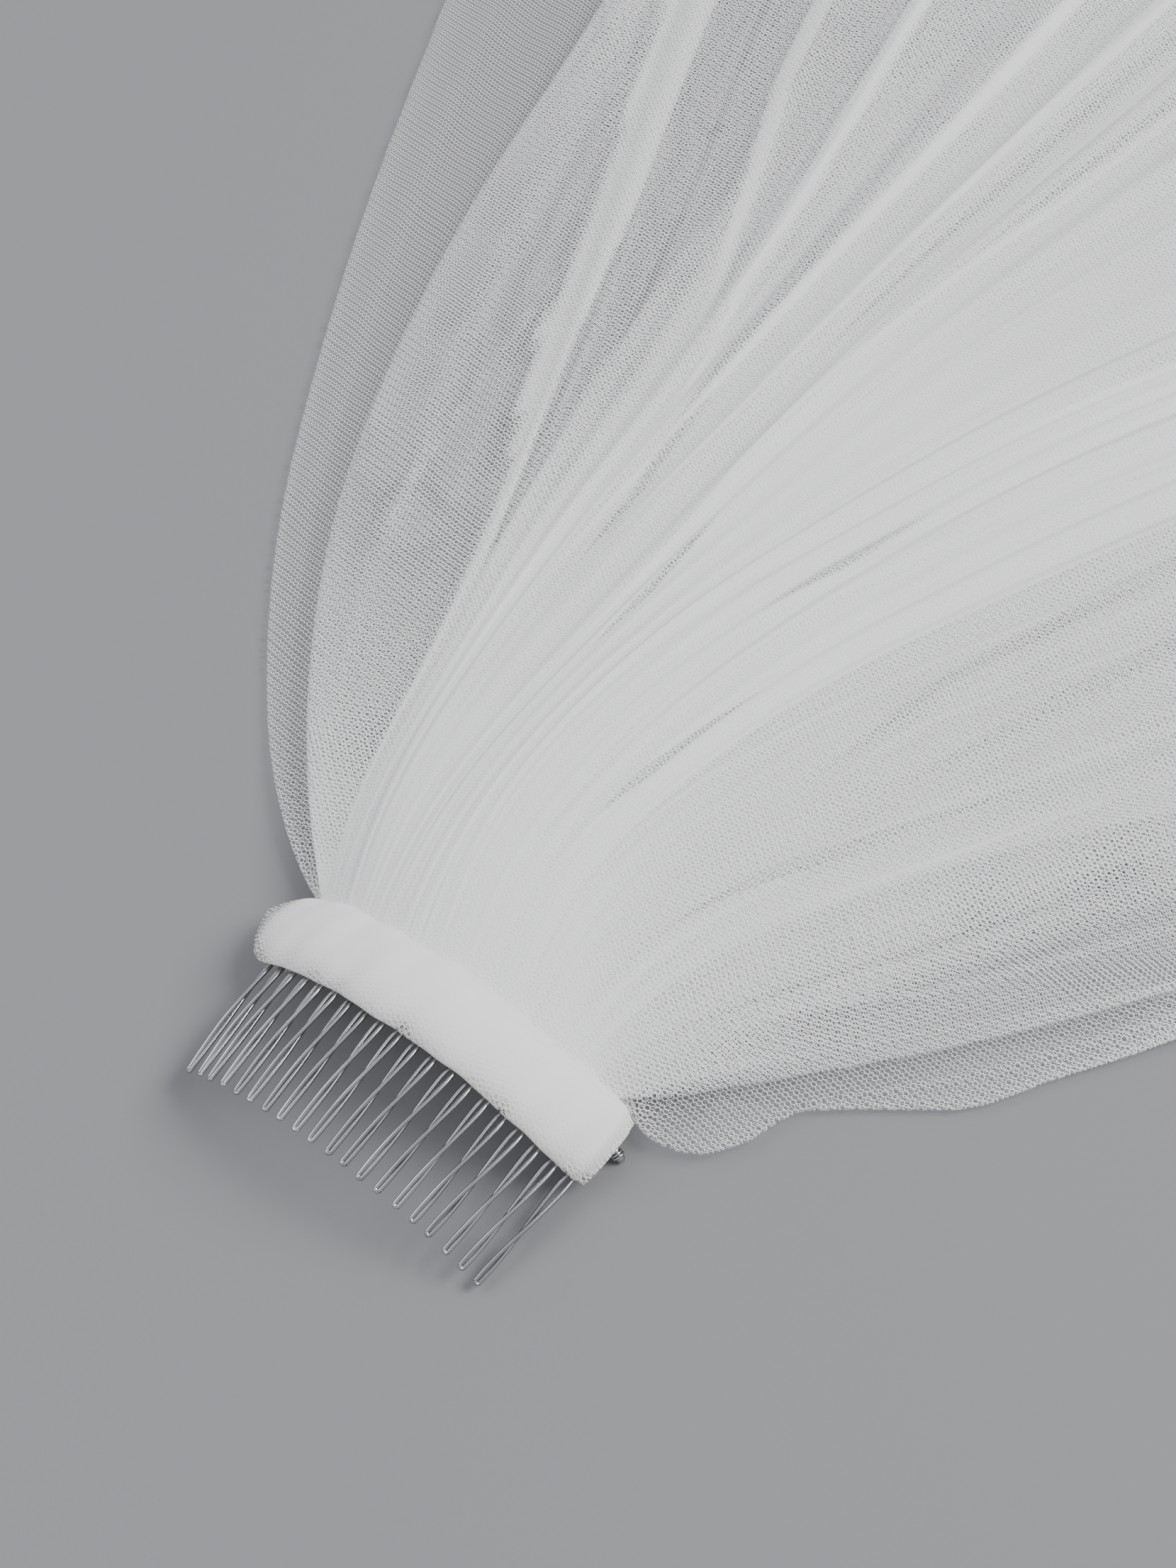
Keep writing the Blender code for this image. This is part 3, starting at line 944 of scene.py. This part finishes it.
@dataclass(frozen=True)
class Crease:
    """A thinner crease: its path, width and height in mm, and the plies it adds."""

    path: Pairs
    width: tuple[float, float]
    height: float
    plies: float = 0.0
    sharp: float = 1.5
    steep: Side | None = None
    steep_mm: float = 0.8

    def field(self, share: np.ndarray, run: np.ndarray, spread: np.ndarray) -> np.ndarray:
        """How strongly the crease is felt at each place, from 0 to 1.

        Args:
            share: Shares of the gather.
            run: Distances along the lines.
            spread: Millimetres per unit of share there.

        Returns:
            The strength.
        """
        start, end = self.path[0][0], self.path[-1][0]
        long = end - start
        along = np.clip((run - start) / long, 0.0, 1.0)
        width = self.width[0] + (self.width[1] - self.width[0]) * along
        away = (share - read_path(self.path, run)) * spread
        if self.steep is not None:
            width = np.where(away * self.steep.value > 0.0, self.steep_mm, width)
        body = np.clip(1.0 - np.abs(away) / width, 0.0, 1.0)
        ease = smooth((run - start) / (0.18 * long)) * smooth((end - run) / (0.30 * long))
        return smooth(body) ** self.sharp * ease


@dataclass(frozen=True)
class PlyPatch:
    """A long patch of known plies: few in a gap between folds, many in a strip folded on itself."""

    path: Pairs
    width: Pairs
    plies: float = 3.0
    soft_mm: float = 0.9

    def field(self, share: np.ndarray, run: np.ndarray, spread: np.ndarray) -> np.ndarray:
        """How far each place is inside the patch, from 0 to 1.

        Args:
            share: Shares of the gather.
            run: Distances along the lines.
            spread: Millimetres per unit of share there.

        Returns:
            The strength.
        """
        half = read_path(self.width, run) / 2
        away = np.abs((share - read_path(self.path, run)) * spread)
        return smooth((half - away) / self.soft_mm + 0.5) * smooth(half / 0.6)


@dataclass(frozen=True)
class EdgeTurn:
    """The edge of a tier turned under itself: the width of the under ply in mm along the run."""

    width: Pairs
    drop: float = 0.9
    plies: float = 0.12


@dataclass
class Column:
    """One line of points down the cloth: share and level at each row, and plies if they are set."""

    share: np.ndarray
    level: np.ndarray
    plies: float = 0.0


@dataclass
class VeilTier:
    """One cut of tulle, gathered to the comb: folds, strips and creases over the fan."""

    name: str
    node: str
    fan: Fan
    cut: tuple[float, float]
    length: float
    edges: tuple[float, float]
    seat: float
    folds: tuple[Fold, ...]
    creases: tuple[Crease, ...]
    patches: tuple[PlyPatch, ...]
    fullness: Pairs
    left: EdgeTurn
    right: EdgeTurn
    seed: int
    column_count: int = 620
    scallop: Pairs = ((0.0, 0.0),)
    scallop_share: float = 0.962
    free_run: float = 240.0
    corner_cut: float = 0.16
    corner_power: int = 12
    fine_count: int = 90
    gather_count: int = 90
    tuck: float = 4.5
    least_spread: float = 12.0
    calm_spread: float = 150.0
    ply_range: tuple[float, float] = (1.1, 20.0)
    least_plies: float = 0.2
    gather_calm: Pairs = ((0.0, 0.05), (40.0, 0.12), (120.0, 0.36), (260.0, 0.6), (600.0, 0.9))

    def rows(self) -> np.ndarray:
        """Place the rows, close near the gather and wider apart further out.

        Returns:
            Distances of the rows in millimetres.
        """
        near = np.arange(-self.tuck, 60.0, 1.5)
        middle = np.arange(60.0, 330.0, 3.6)
        far = np.linspace(330.0, self.length, max(int((self.length - 330.0) / 13.0), 2))
        return np.concatenate([near, middle, far])

    def run(self, share: np.ndarray, row: np.ndarray) -> np.ndarray:
        """Distances along the lines, shortened towards the rounded corners.

        Args:
            share: Shares of the gather.
            row: Distances on the longest line.

        Returns:
            Distances on each line.
        """
        centre = (self.edges[0] + self.edges[1]) / 2
        across = np.clip((share - centre) / (self.edges[1] - centre), -1.0, 1.0)
        own = self.length * (1.0 - self.corner_cut * np.abs(across) ** self.corner_power)
        past = (row - self.free_run) * (own - self.free_run) / (self.length - self.free_run)
        return np.where(row > self.free_run, self.free_run + past, row)

    def columns(self, row: np.ndarray) -> list[Column]:
        """Lay out the cloth from its left edge to its right one, with its turned edges.

        Args:
            row: Distances of the rows.

        Returns:
            The columns in the order of the cloth.
        """
        zero = np.zeros(len(row))
        columns = self.turned_edge(self.left, row, Side.LEFT)
        columns += [Column(zero + share, zero) for share in np.linspace(*self.edges, self.column_count)]
        return columns + self.turned_edge(self.right, row, Side.RIGHT)

    def turned_edge(self, turn: EdgeTurn, row: np.ndarray, side: Side) -> list[Column]:
        """The under ply and the rounded turn of an edge.

        Args:
            turn: The edge's sizes.
            row: Distances of the rows.
            side: Left or right.

        Returns:
            Columns in the order of the cloth.
        """
        edge = self.edges[0] if side is Side.LEFT else self.edges[1]
        share = np.full(len(row), edge)
        spread = self.fan.read(self.fan.width, share, row)
        width = read_path(turn.width, row)
        inward = -side.value * width / np.maximum(spread, 20.0)
        low = np.full(len(row), -turn.drop)
        made = []
        for part in (1.0, 0.85, 0.7, 0.55, 0.4, 0.25, 0.12, 0.04):
            made.append(Column(share + inward * part, low, turn.plies + 0.5 * (1.0 - part) ** 2))
        made.append(Column(share + inward * 0.01, low * 0.85, 0.8))
        made.append(Column(share, low * 0.5, 0.9))
        return made if side is Side.LEFT else made[::-1]

    def fine_creases(self) -> list[Crease]:
        """Thin creases of uneven length, width and depth between the listed ones.

        Returns:
            The creases.
        """
        chance = np.random.default_rng(self.seed)
        made = []
        for number in range(self.fine_count + self.gather_count):
            share = chance.uniform(self.edges[0] + 0.04, self.edges[1] - 0.05)
            if number < self.gather_count:
                start, long = -6.0, chance.uniform(25.0, 130.0)
                width = (chance.uniform(0.5, 1.1), chance.uniform(1.6, 4.0))
                size, more = chance.uniform(0.06, 0.30), chance.uniform(0.2, 1.4)
            else:
                start, long = chance.uniform(10.0, 300.0), chance.uniform(50.0, 240.0)
                width = (chance.uniform(0.8, 1.8), chance.uniform(1.4, 4.5))
                size, more = chance.uniform(0.06, 0.30), chance.uniform(0.3, 2.4)
            end = min(start + long, self.length)
            drift = chance.normal(0.0, 0.02)
            sign = 1.0 if chance.random() < 0.6 else -1.0
            steep = (None, Side.LEFT, Side.RIGHT)[chance.integers(3)]
            middle = ((start + end) / 2, share + drift * 0.6)
            made.append(
                Crease(
                    path=((start, share), middle, (end, share + drift)),
                    width=width,
                    height=sign * size,
                    plies=sign * more,
                    sharp=chance.uniform(1.0, 2.2),
                    steep=steep,
                )
            )
        return made

    def surface(self) -> tuple[np.ndarray, np.ndarray]:
        """Work out the cloth's points and plies.

        Returns:
            Points in millimetres, of shape (columns, rows, 3), and plies.
        """
        row = self.rows()
        columns = self.columns(row)
        share = np.stack([column.share for column in columns])
        level = np.stack([column.level for column in columns])
        own = np.array([column.plies for column in columns])[:, None]
        run = self.run(share, np.broadcast_to(row, share.shape))
        spread = self.fan.read(self.fan.width, share, run)
        x = self.fan.read(self.fan.x, share, run)
        wave = smooth((share - self.scallop_share) / (1.0 - self.scallop_share))
        x = x + read_path(self.scallop, run) * wave
        y = self.fan.read(self.fan.y, share, run) + np.minimum(run, 0.0)
        height = self.fan.lift(share, run) + self.seat + self.under(run)
        for fold in self.folds:
            height = height + fold.field(share, run) * read_path(self.gather_calm, run)
        cut_spread = self.cut[0] / MM / 2.0
        plies = cut_spread / np.maximum(spread, self.least_spread) * read_path(self.fullness, share)
        plies = np.clip(plies, *self.ply_range)
        for patch in self.patches:
            felt = patch.field(share, run, spread)
            plies = plies * (1.0 - felt) + patch.plies * felt
        calm = np.clip(spread / self.calm_spread, 0.4, 1.0)
        for crease in (*self.creases, *self.fine_creases()):
            felt = crease.field(share, run, spread)
            height = height + crease.height * felt * calm
            plies = plies + crease.plies * felt * (0.35 + 0.08 * plies)
        plies = np.where(own > 0.0, own, np.maximum(plies, 1.0))
        points = np.stack([x, y, height + level], axis=-1)
        return points, np.clip(plies, self.least_plies, self.ply_range[1])

    def under(self, run: np.ndarray) -> np.ndarray:
        """Height of what lies under the tier. Nothing does under the lower one."""
        return np.zeros_like(run)

    def build(self, material: bpy.types.Material) -> bpy.types.Object:
        """Build the tier's sheet.

        Args:
            material: The veil's tulle.

        Returns:
            The tier.
        """
        points, plies = self.surface()
        mesh = quad_mesh(self.name, points * MM)
        mesh.attributes.new("plies", "FLOAT", "POINT").data.foreach_set("value", plies.reshape(-1))
        piece = add_piece(self.name, mesh, material)
        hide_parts(self.node)
        report(piece)
        return piece


@dataclass
class UpperTier(VeilTier):
    """The shorter tier, on top of the lower one's crests."""

    lower: tuple[Fold, ...] = ()
    wall: float = 1.8
    gap: float = 0.3

    def under(self, run: np.ndarray) -> np.ndarray:
        """Height of the lower tier's crests and wall under this one."""
        crest = np.max([fold.height(run) for fold in self.lower], axis=0)
        return self.wall + crest + self.gap


LOWER_FOLDS = (
    Fold(-0.985, 0.01, 0.2, 0.2, 1, 2),
    Fold(-0.96, 0.01, 0, 0.2, 1.2, 2.2),
    Fold(-0.928, 0.012, -0.2, 0.3, 1.2, 1),
    Fold(-0.88, 0.018, 0, 0.5, 1.4, 2.8),
    Fold(-0.815, 0.026, 0.2, 0.7, 1.6, 2.4),
    Fold(-0.735, 0.032, -0.1, 0.8, 2, 3),
    Fold(-0.65, 0.036, 0, 0.9, 1.5, 2.2),
    Fold(-0.56, 0.038, 0.2, 0.9, 2.1, 3),
    Fold(-0.465, 0.038, 0, 0.9, 1.4, 2),
    Fold(-0.18, 0.04, -0.3, 0.9, 1.9, 2.8),
    Fold(-0.085, 0.038, 0, 0.8, 2.2, 3),
    Fold(0.01, 0.038, 0.2, 0.9, 1.5, 2.4),
    Fold(0.105, 0.038, 0, 0.9, 2.2, 3),
    Fold(0.2, 0.038, -0.2, 0.8, 1.7, 2.8),
    Fold(0.295, 0.038, 0.1, 0.9, 2, 3),
    Fold(0.39, 0.038, 0, 0.9, 1.6, 2.4),
    Fold(0.485, 0.038, 0.3, 0.8, 2.2, 3),
    Fold(0.58, 0.038, 0, 0.9, 1.8, 2.8),
    Fold(0.675, 0.038, -0.2, 0.8, 2, 2.6),
    Fold(0.768, 0.036, 0, 0.7, 1.8, 3),
    Fold(0.855, 0.032, 0.2, 0.6, 1.6, 2.6),
    Fold(0.925, 0.022, 0, 0.5, 1.8, 3),
    Fold(0.976, 0.014, 0, 0.4, 1.2, 2.2),
)
UPPER_FOLDS = (
    Fold(-0.938, 0.008, 0, 0.2, 1.2, 1),
    Fold(-0.917, 0.009, 0.2, 0.2, 1.3, 1),
    Fold(-0.893, 0.012, 0.3, 0.3, 1, 2.4),
    Fold(-0.845, 0.018, 0, 0.6, 0.8, 1.4),
    Fold(-0.8, 0.02, -0.2, 0.7, 1, 2.4),
    Fold(-0.742, 0.026, 0.2, 0.9, 2.3, 5.4),
    Fold(-0.664, 0.03, 0, 1, 3, 6),
    Fold(-0.585, 0.03, 0.3, 1, 2.2, 4.4),
    Fold(-0.505, 0.03, -0.2, 1, 2.8, 5.4),
    Fold(-0.425, 0.03, 0, 1.1, 2, 3.6),
    Fold(-0.34, 0.034, 0.1, 1.2, 0.9, 0.8),
    Fold(-0.245, 0.034, 0, 1.2, 0.7, 0.8),
    Fold(-0.145, 0.034, -0.3, 1.1, 3.2, 6),
    Fold(-0.06, 0.032, 0, 1.1, 2.6, 4.8),
    Fold(0.03, 0.034, 0.2, 1.1, 1.6, 2.6),
    Fold(0.12, 0.034, 0, 1.1, 3, 5.4),
    Fold(0.205, 0.03, 0.2, 1, 1.4, 2.4),
    Fold(0.29, 0.034, -0.2, 1.1, 2.2, 3.2),
    Fold(0.375, 0.032, 0, 1.1, 2.8, 4.8),
    Fold(0.458, 0.03, 0.2, 0.9, 1.4, 2.6),
    Fold(0.54, 0.032, 0, 1, 2.4, 3.6),
    Fold(0.622, 0.032, 0.2, 1.1, 3, 5.4),
    Fold(0.704, 0.03, -0.1, 0.9, 2.4, 4.4),
    Fold(0.784, 0.03, 0.2, 1, 2, 3.6),
    Fold(0.856, 0.026, 0, 0.8, 2.2, 4),
    Fold(0.912, 0.018, 0, 0.6, 1.4, 2.8),
)
# The dark gaps that the photograph shows through both tiers, from left to right.
GAPS = (
    PlyPatch(
        ((80, -0.862), (110, -0.866), (140, -0.868), (165, -0.856), (192, -0.843), (750, -0.845)),
        ((80, 0), (95, 1.6), (140, 8), (165, 13), (192, 19), (242, 21), (750, 30)), 1.9,
    ),
    PlyPatch(
        ((160, -0.742), (192, -0.768), (222, -0.776), (750, -0.772)),
        ((160, 0), (190, 3), (222, 6), (258, 9), (750, 13)), 2.6,
    ),
    PlyPatch(
        ((98, -0.6), (125, -0.63), (152, -0.655), (175, -0.668), (260, -0.69), (750, -0.69)),
        ((98, 0), (125, 2.2), (152, 3.2), (200, 4.6), (750, 8)),
    ),
    PlyPatch(((92, -0.616), (110, -0.62), (128, -0.608)), ((92, 0), (110, 1.8), (128, 0))),
    PlyPatch(
        ((150, -0.548), (230, -0.556), (330, -0.552)), ((150, 0), (230, 2.6), (330, 4), (750, 5)),
    ),
    PlyPatch(
        ((190, -0.5), (260, -0.496), (330, -0.492)), ((190, 0), (260, 2.2), (330, 3.6), (750, 5)),
    ),
    PlyPatch(((66, -0.38), (95, -0.395), (130, -0.46)), ((66, 0), (95, 2), (130, 0)), 3.5),
    PlyPatch(((100, 0.015), (122, 0.03), (150, 0.03)), ((100, 0), (122, 3.2), (150, 0)), 5, 2),
    PlyPatch(((36, 0.225), (50, 0.235), (65, 0.255), (96, 0.27)), ((36, 0), (58, 2.2), (96, 0))),
    PlyPatch(
        ((70, 0.51), (112, 0.457), (135, 0.446), (165, 0.43), (240, 0.42)),
        ((70, 0), (112, 2.6), (150, 4), (240, 3), (330, 5)),
    ),
    PlyPatch(
        ((80, 0.578), (118, 0.556), (150, 0.535), (240, 0.52)),
        ((80, 0), (118, 3), (150, 4.4), (240, 3.4), (330, 5)),
    ),
    PlyPatch(((26, 0.59), (52, 0.616), (70, 0.64), (104, 0.664)), ((26, 0), (60, 3.6), (104, 0))),
)
# Share of the gather, and how much fuller than the plain cut the net lies there.
LOWER_FULLNESS = (
    (-1, 0.3), (-0.952, 0.3), (-0.945, 1), (-0.905, 1), (-0.885, 0.6), (-0.87, 0.4), (-0.81, 0.4),
    (-0.78, 0.8), (-0.735, 1), (-0.68, 1.4), (-0.6, 2), (-0.3, 2.2), (0.3, 2), (0.44, 1.6),
    (0.54, 1.3), (0.61, 1.05), (0.7, 0.95), (0.8, 0.85), (0.84, 0.55), (0.91, 0.5), (0.93, 0.42),
    (0.972, 0.3), (1, 0.3),
)
UPPER_FULLNESS = (
    (-0.95, 1.3), (-0.905, 1.3), (-0.885, 1), (-0.87, 0.8), (-0.82, 0.9), (-0.78, 1.2),
    (-0.735, 1.3), (-0.68, 1.6), (-0.6, 2), (-0.3, 2.4), (0.3, 2.2), (0.44, 1.7), (0.54, 1.3),
    (0.61, 1.05), (0.7, 0.95), (0.8, 0.85), (0.84, 0.55), (0.91, 0.5), (0.93, 0.45), (0.965, 0.5),
)
# How far the lower tier's right edge swings out, in mm along the run.
RIGHT_SCALLOP = (
    (0, 0), (10, 1.5), (16, 3), (24, 1.5), (33, -2.5), (38, -4), (47, -1.3), (60, 4.4), (65, 5),
    (78, 3.4), (110, 3.8), (330, 3), (750, 0),
)
LOWER_CREASES = (
    Crease(((20, -0.94), (120, -0.93), (300, -0.925)), (1.5, 4), 0.5, 2),
    Crease(((40, -0.9), (150, -0.905), (300, -0.915)), (2, 5), 0.6, 2),
    Crease(((8, 0.985), (60, 0.975), (200, 0.972)), (0.8, 2), 0.5, 1.2, 1.2, Side.RIGHT),
)
# Strips that are folded on themselves, whiter than the cloth beside them: more opaque, and, with 9
# plies or more, painted lighter as light bounced between the plies.
STRIPS = (
    PlyPatch(
        ((70, -0.867), (98, -0.892), (128, -0.9015), (150, -0.9028), (190, -0.898), (750, -0.894)),
        ((78, 0), (84, 1.2), (110, 3.2), (135, 5.2), (160, 7.2), (215, 10.2), (600, 14)), 9, 0.5,
    ),
    PlyPatch(
        ((150, -0.755), (170, -0.762), (190, -0.786), (215, -0.8), (240, -0.808), (750, -0.806)),
        ((145, 0), (175, 2.2), (210, 3.4), (600, 8)), 11, 0.5,
    ),
    PlyPatch(
        ((100, -0.7), (140, -0.694), (175, -0.732), (232, -0.736), (750, -0.732)),
        ((96, 0), (130, 2), (190, 3.6), (600, 9)), 12, 0.5,
    ),
    PlyPatch(
        ((110, -0.645), (190, -0.65), (750, -0.652)), ((110, 0), (160, 1.8), (260, 3.4), (750, 8)),
        14, 0.5,
    ),
    PlyPatch(
        ((120, -0.585), (255, -0.582), (750, -0.57)), ((120, 0), (170, 1.6), (260, 3.4), (750, 8)),
        17, 0.5,
    ),
    PlyPatch(
        ((120, -0.522), (240, -0.528), (750, -0.52)), ((120, 0), (170, 1.4), (260, 2.8), (750, 7)),
        17, 0.5,
    ),
    PlyPatch(((110, -0.07), (168, -0.01), (330, 0.08)), ((110, 0), (168, 1.6), (330, 3)), 17, 0.5),
    PlyPatch(((90, 0.018), (145, 0.1), (330, 0.17)), ((90, 0), (145, 1.4), (330, 3)), 17, 0.5),
    PlyPatch(((90, 0.122), (188, 0.22), (330, 0.255)), ((90, 0), (188, 1.8), (330, 3)), 17, 0.5),
)
UPPER_CREASES = (
    Crease(
        ((66, -0.866), (98, -0.888), (128, -0.896), (188, -0.9), (750, -0.906)), (3, 16), 0.6, 0,
        0.7, Side.LEFT,
    ),
    Crease(
        ((70, -0.938), (102, -0.93), (132, -0.92), (190, -0.902)), (1.2, 2.4), 0.36, 1.6, 1,
        Side.LEFT,
    ),
    Crease(((60, -0.925), (140, -0.931), (330, -0.928)), (2.5, 6), 0.42, 1.2),
    Crease(((110, -0.913), (180, -0.916), (330, -0.912)), (2, 5), 0.36, 1, 1.5, Side.LEFT),
    Crease(
        ((70, -0.862), (130, -0.84), (172, -0.828), (215, -0.798)), (3, 7), 0.5, 2.2, 1, Side.LEFT,
    ),
    Crease(
        ((80, -0.69), (140, -0.686), (175, -0.732), (400, -0.738)), (1.1, 2.6), 0.4, 6, 1,
        Side.LEFT,
    ),
    Crease(
        ((70, -0.657), (125, -0.642), (190, -0.65), (380, -0.652)), (1.1, 2.8), 0.42, 6, 1,
        Side.LEFT,
    ),
    Crease(
        ((80, -0.605), (145, -0.58), (255, -0.585), (420, -0.56)), (1, 2.6), 0.42, 6, 1, Side.RIGHT,
    ),
    Crease(
        ((60, -0.465), (132, -0.51), (240, -0.53), (400, -0.51)), (1, 2.4), 0.4, 6, 1, Side.LEFT,
    ),
    Crease(
        ((100, -0.515), (165, -0.505), (228, -0.48), (400, -0.48)), (1, 2.2), 0.38, 5, 1,
        Side.RIGHT,
    ),
    Crease(((60, -0.39), (112, -0.445), (220, -0.455)), (1.4, 3), 0.42, 2.5, 1, Side.LEFT),
    Crease(
        ((50, -0.103), (120, -0.08), (168, -0.01), (230, 0.06)), (1.2, 4), 0.54, 3, 1, Side.LEFT,
    ),
    Crease(((30, -0.02), (102, 0.02), (145, 0.1), (260, 0.16)), (1.2, 3.6), 0.54, 3, 1, Side.LEFT),
    Crease(
        ((35, 0.095), (118, 0.13), (188, 0.22), (300, 0.25)), (1.2, 3.8), 0.54, 3, 1, Side.RIGHT,
    ),
    Crease(((24, 0.228), (60, 0.243), (110, 0.262)), (0.9, 1.6), 0.36, 2.5, 1, Side.RIGHT),
    Crease(
        ((30, 0.38), (85, 0.415), (165, 0.438), (300, 0.44)), (1.2, 4), 0.54, 3.5, 1, Side.RIGHT,
    ),
    Crease(((60, 0.535), (98, 0.498), (150, 0.52), (300, 0.5)), (1.2, 4), 0.54, 3.5, 1, Side.LEFT),
    Crease(
        ((20, 0.602), (60, 0.612), (102, 0.648), (260, 0.665)), (1.2, 3.6), 0.48, 3, 1, Side.LEFT,
    ),
    Crease(((40, 0.735), (88, 0.75), (120, 0.78), (300, 0.79)), (5, 13), 0.6, 6, 0.8, Side.RIGHT),
    Crease(((20, 0.7), (82, 0.73), (125, 0.74), (260, 0.742)), (1.2, 3.2), 0.48, 3, 1, Side.LEFT),
    Crease(
        ((24, 0.765), (65, 0.8), (115, 0.815), (240, 0.82)), (1.2, 3.2), 0.42, 2.5, 1, Side.LEFT,
    ),
    Crease(((10, 0.86), (60, 0.9), (110, 0.905), (240, 0.9)), (1.5, 5), 0.42, 2, 1, Side.RIGHT),
    Crease(
        ((10, 0.93), (60, 0.935), (102, 0.945), (240, 0.945)), (1, 2.4), 0.36, 1.2, 1, Side.RIGHT,
    ),
    Crease(((60, -0.3), (100, -0.15), (125, 0.02), (140, 0.17)), (2.2, 3.4), 0.45, 1, 1),
)


# ----- The studio -----


@dataclass
class Studio:
    """A plain grey floor, soft lights and a camera at the photograph's angle."""

    place: CombFrame
    floor_colour: tuple[float, float, float] = (0.27, 0.27, 0.28)
    floor_half: float = 6.0
    floor_level: float = -0.0004
    camera_spot: tuple[float, float, float] = (225.13, -144.69, 468.5)
    camera_right: tuple[float, float, float] = (0.774055, 0.623584, -0.109464)
    camera_up: tuple[float, float, float] = (-0.472946, 0.684463, 0.554826)
    lens: float = 66.292

    def build(self) -> None:
        """Make the floor, the lights and the camera."""
        self.floor()
        self.lights()
        self.camera()

    def floor(self) -> None:
        """Lay a plain matt floor just under the cloth."""
        mesh = bpy.data.meshes.new("floor")
        half = self.floor_half
        flat = ((-half, -half), (half, -half), (half, half), (-half, half))
        corners = [(x, y, self.floor_level) for x, y in flat]
        mesh.from_pydata(corners, [], [(0, 1, 2, 3)])
        obj = bpy.data.objects.new("floor", mesh)
        bpy.context.scene.collection.objects.link(obj)
        made = bpy.data.materials.new("floor_paint")
        made.use_nodes = True
        shader = made.node_tree.nodes["Principled BSDF"]
        colour = (*self.floor_colour, 1.0)
        Graph.fill(shader, {"Base Color": colour, "Roughness": 0.95, "Specular IOR Level": 0.1})
        mesh.materials.append(made)

    def lights(self) -> None:
        """Hang two large soft boxes and a pale surround."""
        for name, spot, size, power in (
            ("key_box", (1.25, 0.75, 1.55), 1.1, 52.0),
            ("fill_box", (-1.4, -0.9, 1.6), 1.6, 19.0),
        ):
            data = bpy.data.lights.new(name, "AREA")
            data.shape = "SQUARE"
            data.size = size
            data.energy = power
            lamp = bpy.data.objects.new(name, data)
            lamp.location = spot
            aim = Vector((0.0, -0.2, 0.0)) - Vector(spot)
            lamp.rotation_mode = "QUATERNION"
            lamp.rotation_quaternion = aim.to_track_quat("-Z", "Y")
            bpy.context.scene.collection.objects.link(lamp)
        world = bpy.data.worlds.new("pale_surround")
        world.use_nodes = True
        shade = {"Color": (0.93, 0.95, 1.0, 1.0), "Strength": 0.56}
        Graph.fill(world.node_tree.nodes["Background"], shade)
        bpy.context.scene.world = world

    def camera(self) -> None:
        """Set the camera that was fitted to the comb's teeth."""
        data = bpy.data.cameras.new("photo_camera")
        data.sensor_width = 36.0
        data.lens = self.lens
        data.clip_start = 0.01
        data.clip_end = 20.0
        camera = bpy.data.objects.new("photo_camera", data)
        right = Vector(self.camera_right).normalized()
        up = Vector(self.camera_up).normalized()
        back = right.cross(up).normalized()
        turn = Matrix((right, up, back)).transposed()
        spot = (Vector(self.camera_spot) + Vector(self.place.origin)) * MM
        camera.matrix_world = Matrix.Translation(spot) @ turn.to_4x4()
        bpy.context.scene.collection.objects.link(camera)
        bpy.context.scene.camera = camera


def main() -> None:
    """Build the comb, the band and the two tiers, and set the studio round them."""
    logging.basicConfig(level=logging.INFO, format="%(name)s: %(message)s")
    place = CombFrame()
    LOG.info("comb origin %s", place.origin.round(3))
    wire = WireFinish("bright_wire").material()
    WireComb(place).build(wire)
    band_white = (0.975, 0.965, 0.945)
    # The band's net keeps nearly its whole colour in the painted shade of its holes.
    band_net = TulleFinish("band_net", band_white, hollow_shade=0.95, ply_cover=0.3, waver_mm=1.0)
    BindingBand(place).build(band_net.material())
    veil_net = TulleFinish("veil_net").material()
    fan = Fan(place)
    VeilTier(
        name="lower_tier_net",
        node="veil_lower_tier",
        fan=fan,
        cut=(1.5, 0.75),
        length=750.0,
        edges=(-1.0, 1.0),
        seat=1.4,
        folds=LOWER_FOLDS,
        creases=LOWER_CREASES,
        patches=GAPS[2:],
        fullness=LOWER_FULLNESS,
        left=EdgeTurn(((0.0, 0.5), (60.0, 5.0), (200.0, 12.0), (750.0, 25.0))),
        right=EdgeTurn(
            ((0.0, 0.3), (18.0, 6.0), (34.0, 2.0), (66.0, 5.0), (90.0, 2.0), (750.0, 6.0)), plies=0.3
        ),
        scallop=RIGHT_SCALLOP,
        seed=7,
    ).build(veil_net)
    UpperTier(
        name="upper_tier_net",
        node="veil_upper_tier",
        fan=fan,
        cut=(1.5, 0.60),
        length=600.0,
        edges=(-0.95, 0.952),
        seat=1.2,
        folds=UPPER_FOLDS,
        creases=UPPER_CREASES,
        patches=GAPS + STRIPS,
        fullness=UPPER_FULLNESS,
        left=EdgeTurn(((0.0, 0.5), (20.0, 3.0), (50.0, 10.0), (80.0, 9.0), (110.0, 3.0), (600.0, 6.0))),
        right=EdgeTurn(((0.0, 0.3), (60.0, 3.0), (600.0, 8.0))),
        seed=23,
        lower=LOWER_FOLDS,
    ).build(veil_net)
    Studio(place).build()


if __name__ == "__main__":
    main()
